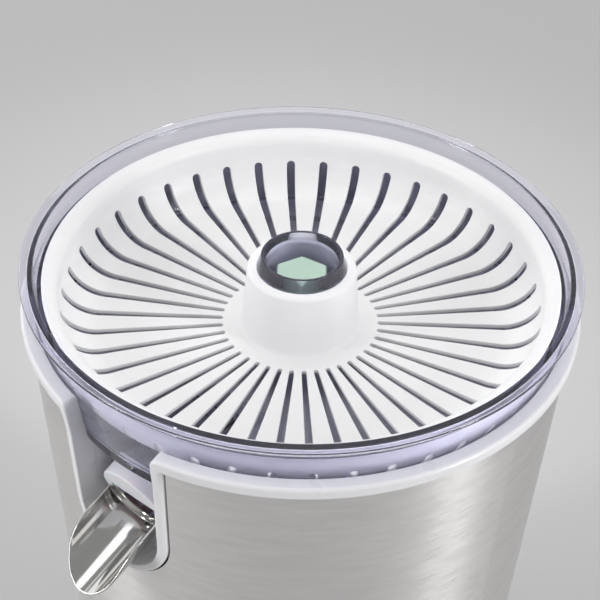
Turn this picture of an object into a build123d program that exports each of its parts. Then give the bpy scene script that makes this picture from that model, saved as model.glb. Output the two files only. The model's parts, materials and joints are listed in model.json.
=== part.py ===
from build123d import *

import os
from math import acos, atan, atan2, cos, pi, radians, sin, sqrt, tan

# Citrus press juicer: a motor base with a lift-off juice bowl and a lift-off strainer.
# Millimetres, +Z up. The drive turns about the Z axis, the table is z = 0 and the spout points to -Y.

os.makedirs("parts", exist_ok=True)

# ---------------------------------------------------------------- driving dimensions
RIM = 290.0                 # height of the bowl's top edge above the table
FLANGE_RADIUS = 110.0       # the bowl's flange is the widest round part

# Steel housing: a cone that widens upwards.
CONE_SLOPE = 0.08
CONE_RADIUS = 107.4         # outside radius at the foot of the collar
SHEET = 0.8

# Collar round the top of the housing.
COLLAR_TOP = RIM - 17.2
COLLAR_FOOT = COLLAR_TOP - 4.9
COLLAR_RADIUS = 110.5
COLLAR_DRAFT = 0.5          # how much less the radius is at the collar's foot
COLLAR_WEB = 2.5
SHELL_TOP = COLLAR_TOP - COLLAR_WEB - 0.2
SHELL_FOOT = 8.7

# Channel for the spout: a U that runs down and out, and shows as a notch in the housing.
SPOUT_SLOPE = 21.0
CHANNEL_RADIUS = 20.0
CHANNEL_FLARE = 0.035       # how much wider each side gets per millimetre of height
CHANNEL_FOOT = 204.4        # lowest point of the notch
CHANNEL_FOOT_Y = -102.5
CHANNEL_END_Y = -41.0
FRAME_WIDTH = 3.8
FRAME_PROUD = 1.8
FRAME_DEPTH = 3.0
FRAME_BLEND = 10.0          # height over which the frame's face runs out to the collar's
CHEEK_WALL = 2.5
CHEEK_END_Y = -95.0
NOTCH_FRONT_Y = -118.0
NOTCH_GAP = 0.8

# Bowl.
SKIRT_SLOPE = 0.175
SKIRT_RADIUS = 104.0        # outside radius level with the collar's top
BOWL_WALL = 2.4
BOWL_FOOT = 248.9
BOWL_FLOOR = 2.5
BOWL_GAP = 0.4
LIP_THICKNESS = 1.6
LEDGE_DROP = 7.4            # the strainer's ledge below the rim
LEDGE_RADIUS = 100.3
LEDGE_BLEND = 20.0
CHIMNEY_TOP = RIM + 2.8
CHIMNEY_TOP_RADIUS = 16.1
CHIMNEY_RADIUS = 17.4
CHIMNEY_BORE = 14.0

# Spout and the bowl's outlet, both on one axis that slopes down towards -Y.
SPOUT_START_Y = -94.4       # front face of the ring
SPOUT_START_Z = 227.7
SPOUT_RADIUS = 12.5         # of the root, inside the outlet
TROUGH_RADIUS = 14.2
SPOUT_WALL = 1.0
SPOUT_LENGTH = 38.0
SPOUT_ROOT = 16.0
SPOUT_NECK = (0.3, 1.8)     # where the root widens into the trough
SPOUT_LIP = 0.2             # height of the trough's sides above the axis
SPOUT_CUT = 40.0
RING_RADIUS = 16.3
RING_LENGTH = 9.0
RING_LIP = 3.0
RING_CHAMFER = 0.5
PIP = (9.5, 11.0)           # place of the small round pip on the ring's face, across and up
PIP_RADIUS = 1.1
PIP_HEIGHT = 0.2
OUTLET_RADIUS = 14.6
OUTLET_BORE = 12.0
OUTLET_LENGTH = 49.0
MOUTH_LENGTH = 26.0
FIT_GAP = 0.05

# Strainer.
STRAINER_EDGE = 101.6
STRAINER_DROP = 5.4
STRAINER_FLOOR = RIM - 29.8
STRAINER_WALL = 2.0
BEND_CENTRE = 80.0
BEND_RADIUS = 15.6
HUB_FOOT_RADIUS = 23.5
HUB_TOP_RADIUS = 21.4
HUB_TOP = RIM - 2.4
HUB_BORE = 17.8
SLOT_COUNT = 42
SLOT_WIDTH = 3.5            # at the outer end
SLOT_ROOT_WIDTH = 1.9       # at the hub's end
SLOT_INNER = 30.9
SLOT_TIP_DROP = 18.5
SLOT_TURN = 0.9             # degrees between the spout's plane and the nearest slot

# Deck under the bowl.
DECK_TOP = 246.4
DECK_FLOOR = 2.5
TUB_WALL = 2.2
TOWER_RADIUS = 12.8
TOWER_TOP = 261.0
TOWER_BORE = 8.0
TOWER_DRAFT = 0.8
RIB_RADIUS = 87.0
RIB_WIDTH = 3.0

# Drive.
SHAFT_RADIUS = 5.0
SHAFT_FLAT = 4.0
SHAFT_FOOT = 200.2
SHAFT_TOP = 281.5
RUNNING_GAP = 0.04
HEX_FLATS = 19.4
HEX_TOP = RIM - 6.0
HEX_FOOT = 264.5
HEX_TURN = 10.1
SLINGER_RADIUS = 12.4
SLINGER_FOOT = 262.0

# Gears: two equal stages, so the input and the output share the Z axis.
MODULE = 0.9
PINION_TEETH = 16
WHEEL_TEETH = 64
PRESSURE_ANGLE = 20.0
TOOTH_BACKLASH = 0.06
FLANK_POINTS = 4
LAYSHAFT_Y = MODULE * (PINION_TEETH + WHEEL_TEETH) / 2 + 0.05
STAGE_ONE = 192.0
STAGE_ONE_WIDTH = 6.0
STAGE_TWO = 201.0
STAGE_TWO_WIDTH = 8.0
AXLE_RADIUS = 3.0

# Gearbox.
BOX_FOOT = 186.0
BOX_FLOOR = 3.0
BOX_TOP = 214.0
BOX_COVER = 4.0
BOX_INSIDE = 30.5
BOX_WALL = 3.0
MOUNT_X = 42.0
MOUNT_LUG = 7.0
CUSHION = 6.0

# Motor.
MOTOR_SIDE = 84.0
MOTOR_CORNER = 50.0
MOTOR_BOLT = 31.5
MOTOR_BOLT_RADIUS = 2.0
STACK_FOOT = 104.0
STACK_HEIGHT = 40.0
STATOR_BORE = 26.5
WINDOW_RADIUS = 37.0
WINDOW_ANGLE = 43.0
ARMATURE_RADIUS = 25.8
ROTOR_RADIUS = 4.0
ROTOR_FOOT = 61.0
ROTOR_TOP = 199.0
MOTOR_FOOT = 60.0
BUSH_RADIUS = 9.0
BUSH_LENGTH = 12.0

# Base.
FOOT_HEIGHT = 5.0
FOOT_RADIUS = 9.0
FOOT_CIRCLE = 72.0
PLATE = 3.5
BASE_RADIUS = 88.9
BASE_LIP = 15.0
BASE_WALL = 2.5
TIE_ROD = 54.5              # x and y of each long screw
TIE_ROD_RADIUS = 2.5
BOARD_TOP = 24.0

# Switch and cord inlet.
ROCKER_Z = 45.0
ROCKER_TILT = 8.0
ROCKER_PIVOT = 3.0          # pivot behind the housing's surface
INLET_Z = 30.0
CORD_RADIUS = 3.6

SPOUT_COS = cos(radians(SPOUT_SLOPE))
SPOUT_SIN = sin(radians(SPOUT_SLOPE))
SPOUT_TAN = SPOUT_SIN / SPOUT_COS
PLATE_TOP = FOOT_HEIGHT + PLATE


# ---------------------------------------------------------------- helpers
def cone_radius(z):
    """Outside radius of the steel housing at height z."""
    return CONE_RADIUS + CONE_SLOPE * (z - COLLAR_FOOT)


def skirt_radius(z):
    """Outside radius of the bowl's skirt at height z."""
    return SKIRT_RADIUS + SKIRT_SLOPE * (z - COLLAR_TOP)


def channel_block(wider, near, far, ceiling):
    """The spout channel as a solid, `wider` on every side, between two planes of constant y."""
    radius = CHANNEL_RADIUS + wider
    centre = CHANNEL_FOOT + CHANNEL_RADIUS + (near - CHANNEL_FOOT_Y) * SPOUT_TAN
    top = RIM + 2 * CHANNEL_RADIUS
    mouth = radius + CHANNEL_FLARE * (top - centre)
    with BuildPart() as block:
        with BuildSketch(Plane.XZ.offset(-near)):
            with BuildLine():
                CenterArc((0, centre), radius, 180, 180)
                Polyline((radius, centre), (mouth, top), (-mouth, top), (-radius, centre))
            make_face()
        extrude(amount=(far - near) / SPOUT_COS, dir=(0, SPOUT_COS, SPOUT_SIN))
        split(bisect_by=Plane.XY.offset(ceiling), keep=Keep.BOTTOM)
    return block.part


def turned(*outline):
    """A solid turned about the Z axis from points (radius, height)."""
    with BuildPart() as solid:
        with BuildSketch(Plane.XZ):
            with BuildLine():
                Polyline(*outline, close=True)
            make_face()
        revolve(axis=Axis.Z)
    return solid.part


def spout_plane(along):
    """Cross-section plane of the spout, `along` millimetres down its axis."""
    origin = (0, SPOUT_START_Y - along * SPOUT_COS, SPOUT_START_Z - along * SPOUT_SIN)
    return Plane(origin=origin, x_dir=(1, 0, 0), z_dir=(0, -SPOUT_COS, -SPOUT_SIN))


def involute(angle):
    """Involute function of an angle in radians."""
    return tan(angle) - angle


def gear_points(teeth, tooth_angle, centre=(0, 0)):
    """Outline of an involute gear with one tooth centred on tooth_angle, in degrees."""
    pitch = MODULE * teeth / 2
    base = pitch * cos(radians(PRESSURE_ANGLE))
    tip = pitch + MODULE
    root = pitch - 1.25 * MODULE
    half_pitch = pi / (2 * teeth) - TOOTH_BACKLASH / (2 * pitch)
    start = max(base, root)

    def half_angle(radius):
        return half_pitch + involute(radians(PRESSURE_ANGLE)) - involute(acos(base / radius))

    radii = [start + (tip - start) * i / (FLANK_POINTS - 1) for i in range(FLANK_POINTS)]
    flank = [(radius, half_angle(radius)) for radius in radii]
    flank.insert(0, (root - 0.01, half_angle(start)))
    points = []
    for tooth in range(teeth):
        middle = radians(tooth_angle) + 2 * pi * tooth / teeth
        polar = [(radius, middle - half) for radius, half in flank]
        polar += [(radius, middle + half) for radius, half in reversed(flank)]
        points += [(centre[0] + r * cos(a), centre[1] + r * sin(a)) for r, a in polar]
    return points


def sector(inner, outer, start, end):
    """Points of a ring sector between two angles, in degrees, with arcs as short chords."""
    steps = 12
    angles = [radians(start + (end - start) * i / steps) for i in range(steps + 1)]
    outline = [(outer * cos(a), outer * sin(a)) for a in angles]
    return outline + [(inner * cos(a), inner * sin(a)) for a in reversed(angles)]


def corners(x, y):
    return [(x, y), (-x, y), (-x, -y), (x, -y)]


def save(builder, name):
    builder.part.label = name
    export_step(builder.part, f"parts/{name}.step")


# ---------------------------------------------------------------- shared cutting solids
channel = channel_block(0, NOTCH_FRONT_Y, CHANNEL_END_Y, RIM)
bowl_space = turned(
    (0, DECK_TOP),
    (skirt_radius(DECK_TOP) + BOWL_GAP, DECK_TOP),
    (skirt_radius(RIM) + BOWL_GAP, RIM),
    (0, RIM),
)
shaft_flat = Pos(SHAFT_FLAT + SHAFT_RADIUS / 2, 0, (SHAFT_TOP + HEX_FOOT) / 2) * Box(
    SHAFT_RADIUS, 3 * SHAFT_RADIUS, SHAFT_TOP - HEX_FOOT
)

# ================================================================ housing
rocker_surface = Plane(
    origin=(0, -cone_radius(ROCKER_Z), ROCKER_Z),
    x_dir=(1, 0, 0),
    z_dir=(0, -1, -CONE_SLOPE),
)
BEZEL_BODY = (20.6, 29.6)   # the switch housing's width and height behind its flange
HOLE_GAP = 0.4
HOLE_CORNER = 0.5
INLET_BODY = 6.0
PAST = 4.0                  # how far cutting solids run past what they cut
SHELL_NOTCH_BACK = -80.0

shell_notch = channel_block(FRAME_WIDTH + NOTCH_GAP, NOTCH_FRONT_Y, SHELL_NOTCH_BACK, RIM)

with BuildPart() as outer_shell:
    with BuildSketch(Plane.XZ):
        with BuildLine():
            Polyline(
                (cone_radius(SHELL_FOOT), SHELL_FOOT),
                (cone_radius(SHELL_TOP), SHELL_TOP),
                (cone_radius(SHELL_TOP) - SHEET, SHELL_TOP),
                (cone_radius(SHELL_FOOT) - SHEET, SHELL_FOOT),
                close=True,
            )
        make_face()
    revolve(axis=Axis.Z)
    add(shell_notch, mode=Mode.SUBTRACT)
    with BuildSketch(rocker_surface):
        RectangleRounded(BEZEL_BODY[0] + HOLE_GAP, BEZEL_BODY[1] + HOLE_GAP, HOLE_CORNER)
    extrude(amount=PAST, both=True, mode=Mode.SUBTRACT)
    with BuildSketch(Plane.XZ.offset(-cone_radius(INLET_Z) - PAST)):
        with Locations((0, INLET_Z)):
            Circle(INLET_BODY + HOLE_GAP)
    extrude(amount=2 * PAST, mode=Mode.SUBTRACT)
save(outer_shell, "outer_shell")

# Collar: ring with a lip over the housing's edge, then the frame and cheeks of the notch.
LIP_INSIDE = cone_radius(SHELL_TOP) + 0.4
COLLAR_ROUND = 1.4
COLLAR_OVERLAP = 2.0        # how far the ring reaches inside the skirt before the bowl's space is cut
BAND_FOOT = CHANNEL_FOOT - 12
FRAME_END_Y = -90.0
MOUTH_ROUND = 4.0
blend_start = COLLAR_FOOT - FRAME_BLEND
frame_band = turned(
    (cone_radius(BAND_FOOT) - FRAME_DEPTH, BAND_FOOT),
    (cone_radius(BAND_FOOT) + FRAME_PROUD, BAND_FOOT),
    (cone_radius(blend_start) + FRAME_PROUD, blend_start),
    (COLLAR_RADIUS - COLLAR_DRAFT, COLLAR_FOOT),
    (COLLAR_RADIUS - COLLAR_DRAFT, COLLAR_TOP - COLLAR_WEB),
    (cone_radius(COLLAR_TOP - COLLAR_WEB) - FRAME_DEPTH, COLLAR_TOP - COLLAR_WEB),
)
frame_area = channel_block(FRAME_WIDTH, NOTCH_FRONT_Y, FRAME_END_Y, COLLAR_TOP - COLLAR_WEB)
cheek_area = channel_block(CHEEK_WALL, NOTCH_FRONT_Y, CHEEK_END_Y, COLLAR_TOP - COLLAR_WEB)
cheek_inside = turned(
    (0, BAND_FOOT),
    (cone_radius(BAND_FOOT), BAND_FOOT),
    (cone_radius(COLLAR_TOP), COLLAR_TOP),
    (0, COLLAR_TOP),
)
notch_frame = frame_band & frame_area
mouth_half = CHANNEL_RADIUS + CHANNEL_FLARE * (COLLAR_TOP - CHANNEL_FOOT - CHANNEL_RADIUS)
notch_cheeks = cheek_inside & cheek_area

with BuildPart() as collar:
    with BuildSketch(Plane.XZ):
        with BuildLine():
            Polyline(
                (SKIRT_RADIUS - COLLAR_OVERLAP, COLLAR_TOP),
                (COLLAR_RADIUS, COLLAR_TOP),
                (COLLAR_RADIUS - COLLAR_DRAFT, COLLAR_FOOT),
                (LIP_INSIDE, COLLAR_FOOT),
                (LIP_INSIDE, COLLAR_TOP - COLLAR_WEB),
                (SKIRT_RADIUS - COLLAR_OVERLAP, COLLAR_TOP - COLLAR_WEB),
                close=True,
            )
        make_face()
        fillet(vertices().group_by(Axis.Y)[-1].sort_by(Axis.X)[-1], COLLAR_ROUND)
    revolve(axis=Axis.Z)
    add(notch_frame)
    add(notch_cheeks)
    add(channel, mode=Mode.SUBTRACT)
    add(bowl_space, mode=Mode.SUBTRACT)
    with BuildSketch(Plane.XZ.offset(-NOTCH_FRONT_Y)):
        for side in (1, -1):
            with Locations((side * (mouth_half + (MOUTH_ROUND - 1) / 2), COLLAR_TOP)):
                Rectangle(MOUTH_ROUND + 1, 2 * MOUTH_ROUND)
            with Locations((side * (mouth_half + MOUTH_ROUND), COLLAR_TOP - MOUTH_ROUND)):
                Circle(MOUTH_ROUND, mode=Mode.SUBTRACT)
    extrude(amount=NOTCH_FRONT_Y - CHEEK_END_Y, mode=Mode.SUBTRACT)
save(collar, "collar")

# Deck: tub wall behind the collar, floor under the bowl, tower for the shaft, trench for the outlet.
FRAME_CLEAR = 0.3
FRAME_SPACE_Y = -97.0
MOUNT_BOSS = 5.5
ROD_BOSS = 6.0
ROD_BOSS_LENGTH = 14.0
SCREW_HOLE = 10.0
deck_foot = DECK_TOP - DECK_FLOOR
tub_top = COLLAR_TOP - COLLAR_WEB
trench = channel_block(CHEEK_WALL, CHEEK_END_Y, CHANNEL_END_Y + CHEEK_WALL, DECK_TOP)
cheek_space = channel_block(CHEEK_WALL + FIT_GAP, NOTCH_FRONT_Y, CHEEK_END_Y, RIM)
frame_space = channel_block(FRAME_WIDTH + FRAME_CLEAR, NOTCH_FRONT_Y, FRAME_SPACE_Y, RIM)
MOUNT_SPOTS = [(MOUNT_X, 0), (-MOUNT_X, 0), (MOUNT_X, LAYSHAFT_Y), (-MOUNT_X, LAYSHAFT_Y)]
MOUNT_SCREW = 1.8
MOUNT_CLEAR = 0.7
MOUNT_THREAD = 9.0
cover_top = BOX_TOP + BOX_COVER

with BuildPart() as upper_deck:
    with BuildSketch(Plane.XZ):
        with BuildLine():
            Polyline(
                (TOWER_BORE, deck_foot),
                (skirt_radius(deck_foot) + BOWL_GAP + TUB_WALL, deck_foot),
                (skirt_radius(tub_top) + BOWL_GAP + TUB_WALL, tub_top),
                (skirt_radius(tub_top) + BOWL_GAP, tub_top),
                (skirt_radius(DECK_TOP) + BOWL_GAP, DECK_TOP),
                (RIB_RADIUS, DECK_TOP),
                (RIB_RADIUS, BOWL_FOOT),
                (RIB_RADIUS - RIB_WIDTH, BOWL_FOOT),
                (RIB_RADIUS - RIB_WIDTH, DECK_TOP),
                (TOWER_RADIUS, DECK_TOP),
                (TOWER_RADIUS - TOWER_DRAFT, TOWER_TOP),
                (TOWER_BORE, TOWER_TOP),
                close=True,
            )
        make_face()
    revolve(axis=Axis.Z)
    add(cheek_space, mode=Mode.SUBTRACT)
    add(frame_space, mode=Mode.SUBTRACT)
    add(trench)
    add(channel, mode=Mode.SUBTRACT)
    with BuildSketch(Plane.XY.offset(cover_top + CUSHION)):
        with Locations(*MOUNT_SPOTS):
            Circle(MOUNT_BOSS)
    extrude(until=Until.NEXT)
    with BuildSketch(Plane.XY.offset(deck_foot - ROD_BOSS_LENGTH)):
        with Locations(*corners(TIE_ROD, TIE_ROD)):
            Circle(ROD_BOSS)
    extrude(until=Until.NEXT)
    with BuildSketch(Plane.XY.offset(cover_top + CUSHION)):
        with Locations(*MOUNT_SPOTS):
            Circle(MOUNT_SCREW)
    extrude(amount=SCREW_HOLE, mode=Mode.SUBTRACT)
    with BuildSketch(Plane.XY.offset(deck_foot - ROD_BOSS_LENGTH)):
        with Locations(*corners(TIE_ROD, TIE_ROD)):
            Circle(TIE_ROD_RADIUS + FIT_GAP)
    extrude(amount=ROD_BOSS_LENGTH - 2, mode=Mode.SUBTRACT)
save(upper_deck, "upper_deck")

with BuildPart() as deck_bush:
    with BuildSketch(Plane.XY.offset(deck_foot + 0.5)):
        Circle(TOWER_BORE)
        Circle(SHAFT_RADIUS + RUNNING_GAP, mode=Mode.SUBTRACT)
    extrude(amount=BUSH_LENGTH)
save(deck_bush, "deck_bush")

SEAL_LIP = 1.6              # how far the seal's lip reaches in to the shaft
SEAL_LENGTH = 3.8
SEAL_TOP = TOWER_TOP - 0.2

with BuildPart() as shaft_seal:
    with BuildSketch(Plane.XZ):
        with BuildLine():
            Polyline(
                (SHAFT_RADIUS + 2 * RUNNING_GAP, SEAL_TOP - 2.2),
                (SHAFT_RADIUS + 2 * RUNNING_GAP, SEAL_TOP - 0.7),
                (SHAFT_RADIUS + SEAL_LIP, SEAL_TOP),
                (TOWER_BORE, SEAL_TOP),
                (TOWER_BORE, SEAL_TOP - SEAL_LENGTH),
                (SHAFT_RADIUS + SEAL_LIP, SEAL_TOP - SEAL_LENGTH),
                close=True,
            )
        make_face()
    revolve(axis=Axis.Z)
save(shaft_seal, "shaft_seal")

# ================================================================ juice bowl
bowl_floor = BOWL_FOOT + BOWL_FLOOR
ledge = RIM - LEDGE_DROP
blend_foot = ledge - LEDGE_BLEND
FLOOR_ROUND = 5.0
FOOT_ROUND = 1.2
CHIMNEY_ROUND = 3.0
CHIMNEY_EDGE = 1.0          # width of the chimney's top edge
CHIMNEY_FUNNEL = 7.0        # height over which its bore widens
CHIMNEY_DRAFT = 0.1
EDGE_ROUND = 0.3


def outlet_block(radius, start, end, top=bowl_floor, mouth=False):
    """Part of the outlet along its axis, cut off level at `top`; a mouth is straight above the axis."""
    with BuildPart() as block:
        with BuildSketch(spout_plane(start)):
            Circle(radius)
            if mouth:
                with Locations((0, RING_RADIUS)):
                    Rectangle(2 * radius, 2 * RING_RADIUS)
        extrude(amount=end - start)
        split(bisect_by=Plane.XY.offset(top), keep=Keep.BOTTOM)
    return block.part


mouth_start = BOWL_FLOOR - OUTLET_LENGTH
outlet_tube = outlet_block(OUTLET_RADIUS, -OUTLET_LENGTH, -RING_LIP)
outlet_walls = outlet_block(OUTLET_RADIUS, -OUTLET_LENGTH, -MOUTH_LENGTH, mouth=True)
outlet_bore = outlet_block(OUTLET_BORE, mouth_start, 0)
outlet_mouth = outlet_block(OUTLET_BORE, mouth_start, -MOUTH_LENGTH, bowl_floor + BOWL_FLOOR, mouth=True)
spout_socket = outlet_block(SPOUT_RADIUS + FIT_GAP, -SPOUT_ROOT - 1, 0)

with BuildPart() as juice_bowl:
    with BuildSketch(Plane.XZ):
        with BuildLine():
            Polyline(
                (CHIMNEY_BORE, BOWL_FOOT),
                (skirt_radius(BOWL_FOOT), BOWL_FOOT),
                (skirt_radius(RIM - LIP_THICKNESS), RIM - LIP_THICKNESS),
                (FLANGE_RADIUS, RIM - LIP_THICKNESS),
                (FLANGE_RADIUS, RIM),
                (skirt_radius(RIM) - BOWL_WALL, RIM),
                (skirt_radius(ledge) - BOWL_WALL, ledge),
                (LEDGE_RADIUS, ledge),
                (skirt_radius(blend_foot) - BOWL_WALL, blend_foot),
                (skirt_radius(bowl_floor) - BOWL_WALL, bowl_floor),
                (CHIMNEY_RADIUS + CHIMNEY_DRAFT, bowl_floor),
                (CHIMNEY_RADIUS, HUB_TOP),
                (CHIMNEY_TOP_RADIUS, CHIMNEY_TOP),
                (CHIMNEY_TOP_RADIUS - CHIMNEY_EDGE, CHIMNEY_TOP),
                (CHIMNEY_BORE, CHIMNEY_TOP - CHIMNEY_FUNNEL),
                close=True,
            )
        make_face()
        for corner, radius in (
            ((skirt_radius(bowl_floor) - BOWL_WALL, bowl_floor), FLOOR_ROUND),
            ((skirt_radius(BOWL_FOOT), BOWL_FOOT), FOOT_ROUND),
            ((CHIMNEY_RADIUS + CHIMNEY_DRAFT, bowl_floor), CHIMNEY_ROUND),
            ((CHIMNEY_TOP_RADIUS, CHIMNEY_TOP), EDGE_ROUND),
        ):
            fillet(vertices().sort_by_distance(corner)[0], radius)
    revolve(axis=Axis.Z)
    add(outlet_tube)
    add(outlet_walls)
    add(outlet_bore, mode=Mode.SUBTRACT)
    add(outlet_mouth, mode=Mode.SUBTRACT)
    add(spout_socket, mode=Mode.SUBTRACT)
save(juice_bowl, "juice_bowl")

with BuildPart() as spout_ring:
    with BuildSketch(spout_plane(-RING_LENGTH)):
        Circle(RING_RADIUS)
        Circle(OUTLET_RADIUS + FIT_GAP, mode=Mode.SUBTRACT)
    extrude(amount=RING_LENGTH - RING_LIP)
    with BuildSketch(spout_plane(-RING_LIP)):
        Circle(RING_RADIUS)
    extrude(amount=RING_LIP)
    rims = edges().filter_by(GeomType.CIRCLE).sort_by(SortBy.RADIUS)[-2:]
    chamfer(rims.sort_by(Axis.Y)[0], RING_CHAMFER)
    with BuildSketch(spout_plane(-RING_LIP)):
        Circle(SPOUT_RADIUS + FIT_GAP)
        with Locations((0, SPOUT_LIP + FIT_GAP + SPOUT_RADIUS)):
            Rectangle(2 * RING_RADIUS, 2 * SPOUT_RADIUS, mode=Mode.SUBTRACT)
    extrude(amount=RING_LIP, mode=Mode.SUBTRACT)
    with BuildSketch(spout_plane(0)):
        with Locations(PIP):
            Circle(PIP_RADIUS)
    extrude(amount=PIP_HEIGHT)
save(spout_ring, "spout_ring")

# Spout: a trough, open above, with straight sides first and then an oblique end.
spout_side = Plane(
    origin=(0, SPOUT_START_Y, SPOUT_START_Z), x_dir=(0, -SPOUT_COS, -SPOUT_SIN), z_dir=(-1, 0, 0)
)
cut_length = (TROUGH_RADIUS + SPOUT_LIP) / tan(radians(SPOUT_CUT))
CUT_BLEND = 25.0
cut_start = -SPOUT_ROOT - PAST
spout_end = SPOUT_LENGTH + PAST

with BuildPart() as spout:
    with BuildSketch(spout_side):
        with BuildLine():
            Polyline(
                (-SPOUT_ROOT, SPOUT_RADIUS),
                (SPOUT_NECK[0], SPOUT_RADIUS),
                (SPOUT_NECK[1], TROUGH_RADIUS),
                (spout_end, TROUGH_RADIUS),
                (spout_end, TROUGH_RADIUS - SPOUT_WALL),
                (SPOUT_NECK[1], TROUGH_RADIUS - SPOUT_WALL),
                (SPOUT_NECK[0], SPOUT_RADIUS - SPOUT_WALL),
                (-SPOUT_ROOT, SPOUT_RADIUS - SPOUT_WALL),
                close=True,
            )
        make_face()
    revolve(axis=Axis((0, SPOUT_START_Y, SPOUT_START_Z), (0, -SPOUT_COS, -SPOUT_SIN)))
    with BuildSketch(spout_side):
        with BuildLine():
            Polyline(
                (cut_start, 2 * TROUGH_RADIUS),
                (cut_start, SPOUT_LIP),
                (SPOUT_LENGTH - cut_length, SPOUT_LIP),
                (SPOUT_LENGTH, -TROUGH_RADIUS),
                (spout_end + PAST, -2 * TROUGH_RADIUS),
                (spout_end + PAST, 2 * TROUGH_RADIUS),
                close=True,
            )
        make_face()
        fillet(vertices().sort_by_distance((SPOUT_LENGTH - cut_length, SPOUT_LIP))[0], CUT_BLEND)
    extrude(amount=2 * TROUGH_RADIUS, both=True, mode=Mode.SUBTRACT)
save(spout, "spout")

# ================================================================ strainer
bend_height = STRAINER_FLOOR + BEND_RADIUS
bend_edge = BEND_CENTRE + BEND_RADIUS
strainer_top = RIM - STRAINER_DROP
lip_radius = STRAINER_EDGE - bend_edge
under = STRAINER_FLOOR - STRAINER_WALL
outer_bend = BEND_RADIUS + STRAINER_WALL
SEAT_GAP = 0.4
seat_edge = LEDGE_RADIUS - SEAT_GAP
under_lip = seat_edge - BEND_CENTRE - outer_bend

slot_tip = RIM - SLOT_TIP_DROP - SLOT_WIDTH / 2
tip_angle = atan2(slot_tip - bend_height, sqrt(BEND_RADIUS**2 - (bend_height - slot_tip) ** 2))
tip_radius = BEND_CENTRE + BEND_RADIUS * cos(tip_angle)
tip_plane = Plane(
    origin=(tip_radius, 0, slot_tip), x_dir=(0, 1, 0), z_dir=(cos(tip_angle), 0, sin(tip_angle))
)

TIP_INSIDE = 3.0            # the slots' outer ends are cut square to the bend, from inside it outwards
HUB_ROUND = 1.8
HUB_FOOT_ROUND = 2.5
slot_start = SLOT_INNER + SLOT_ROOT_WIDTH / 2

with BuildPart() as slot_cutter:
    with BuildSketch(Plane.XZ):
        with BuildLine():
            Polyline(
                (slot_start, under - PAST),
                (slot_start, STRAINER_FLOOR + PAST),
                (BEND_CENTRE, STRAINER_FLOOR + PAST),
                (tip_radius - TIP_INSIDE * cos(tip_angle), slot_tip - TIP_INSIDE * sin(tip_angle)),
                (tip_radius + PAST * cos(tip_angle), slot_tip + PAST * sin(tip_angle)),
                (tip_radius + PAST, under - PAST),
                close=True,
            )
        make_face()
    extrude(amount=SLOT_WIDTH / 2, both=True)
    with BuildSketch(Plane.XY):
        with BuildLine():
            Polyline(
                (slot_start, -SLOT_ROOT_WIDTH / 2),
                (tip_radius, -SLOT_WIDTH / 2),
                (tip_radius + 2 * PAST, -SLOT_WIDTH / 2),
                (tip_radius + 2 * PAST, SLOT_WIDTH / 2),
                (tip_radius, SLOT_WIDTH / 2),
                (slot_start, SLOT_ROOT_WIDTH / 2),
                close=True,
            )
        make_face()
    extrude(amount=RIM, mode=Mode.INTERSECT)
    with BuildSketch(Plane.XY.offset(under - PAST)):
        with Locations((slot_start, 0)):
            Circle(SLOT_ROOT_WIDTH / 2)
    extrude(amount=STRAINER_WALL + 2 * PAST)
    with BuildSketch(tip_plane.offset(-TIP_INSIDE)):
        Circle(SLOT_WIDTH / 2)
    extrude(amount=TIP_INSIDE + PAST)

with BuildPart() as strainer:
    with BuildSketch(Plane.XZ):
        with BuildLine():
            Polyline(
                (HUB_BORE, HUB_TOP),
                (HUB_TOP_RADIUS, HUB_TOP),
                (HUB_FOOT_RADIUS, STRAINER_FLOOR),
                (BEND_CENTRE, STRAINER_FLOOR),
            )
            CenterArc((BEND_CENTRE, bend_height), BEND_RADIUS, 270, 90)
            Line((bend_edge, bend_height), (bend_edge, strainer_top - lip_radius))
            CenterArc((STRAINER_EDGE, strainer_top - lip_radius), lip_radius, 90, 90)
            Polyline((STRAINER_EDGE, strainer_top), (STRAINER_EDGE, ledge), (seat_edge, ledge))
            CenterArc((seat_edge, ledge - under_lip), under_lip, 90, 90)
            Line((BEND_CENTRE + outer_bend, ledge - under_lip), (BEND_CENTRE + outer_bend, bend_height))
            CenterArc((BEND_CENTRE, bend_height), outer_bend, 270, 90)
            Polyline(
                (BEND_CENTRE, under),
                (HUB_FOOT_RADIUS - STRAINER_WALL, under),
                (HUB_TOP_RADIUS - STRAINER_WALL, HUB_TOP - STRAINER_WALL),
                (HUB_BORE, HUB_TOP - STRAINER_WALL),
                (HUB_BORE, HUB_TOP),
            )
        make_face()
        fillet(vertices().sort_by_distance((HUB_TOP_RADIUS, HUB_TOP))[0], HUB_ROUND)
        fillet(vertices().sort_by_distance((HUB_FOOT_RADIUS, STRAINER_FLOOR))[0], HUB_FOOT_ROUND)
    revolve(axis=Axis.Z)
    with PolarLocations(0, SLOT_COUNT, start_angle=-90 + SLOT_TURN):
        add(slot_cutter.part, mode=Mode.SUBTRACT)
save(strainer, "strainer")

# ================================================================ drive
HEX_CORNER = 0.8
HEX_CHAMFER = 0.5

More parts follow.
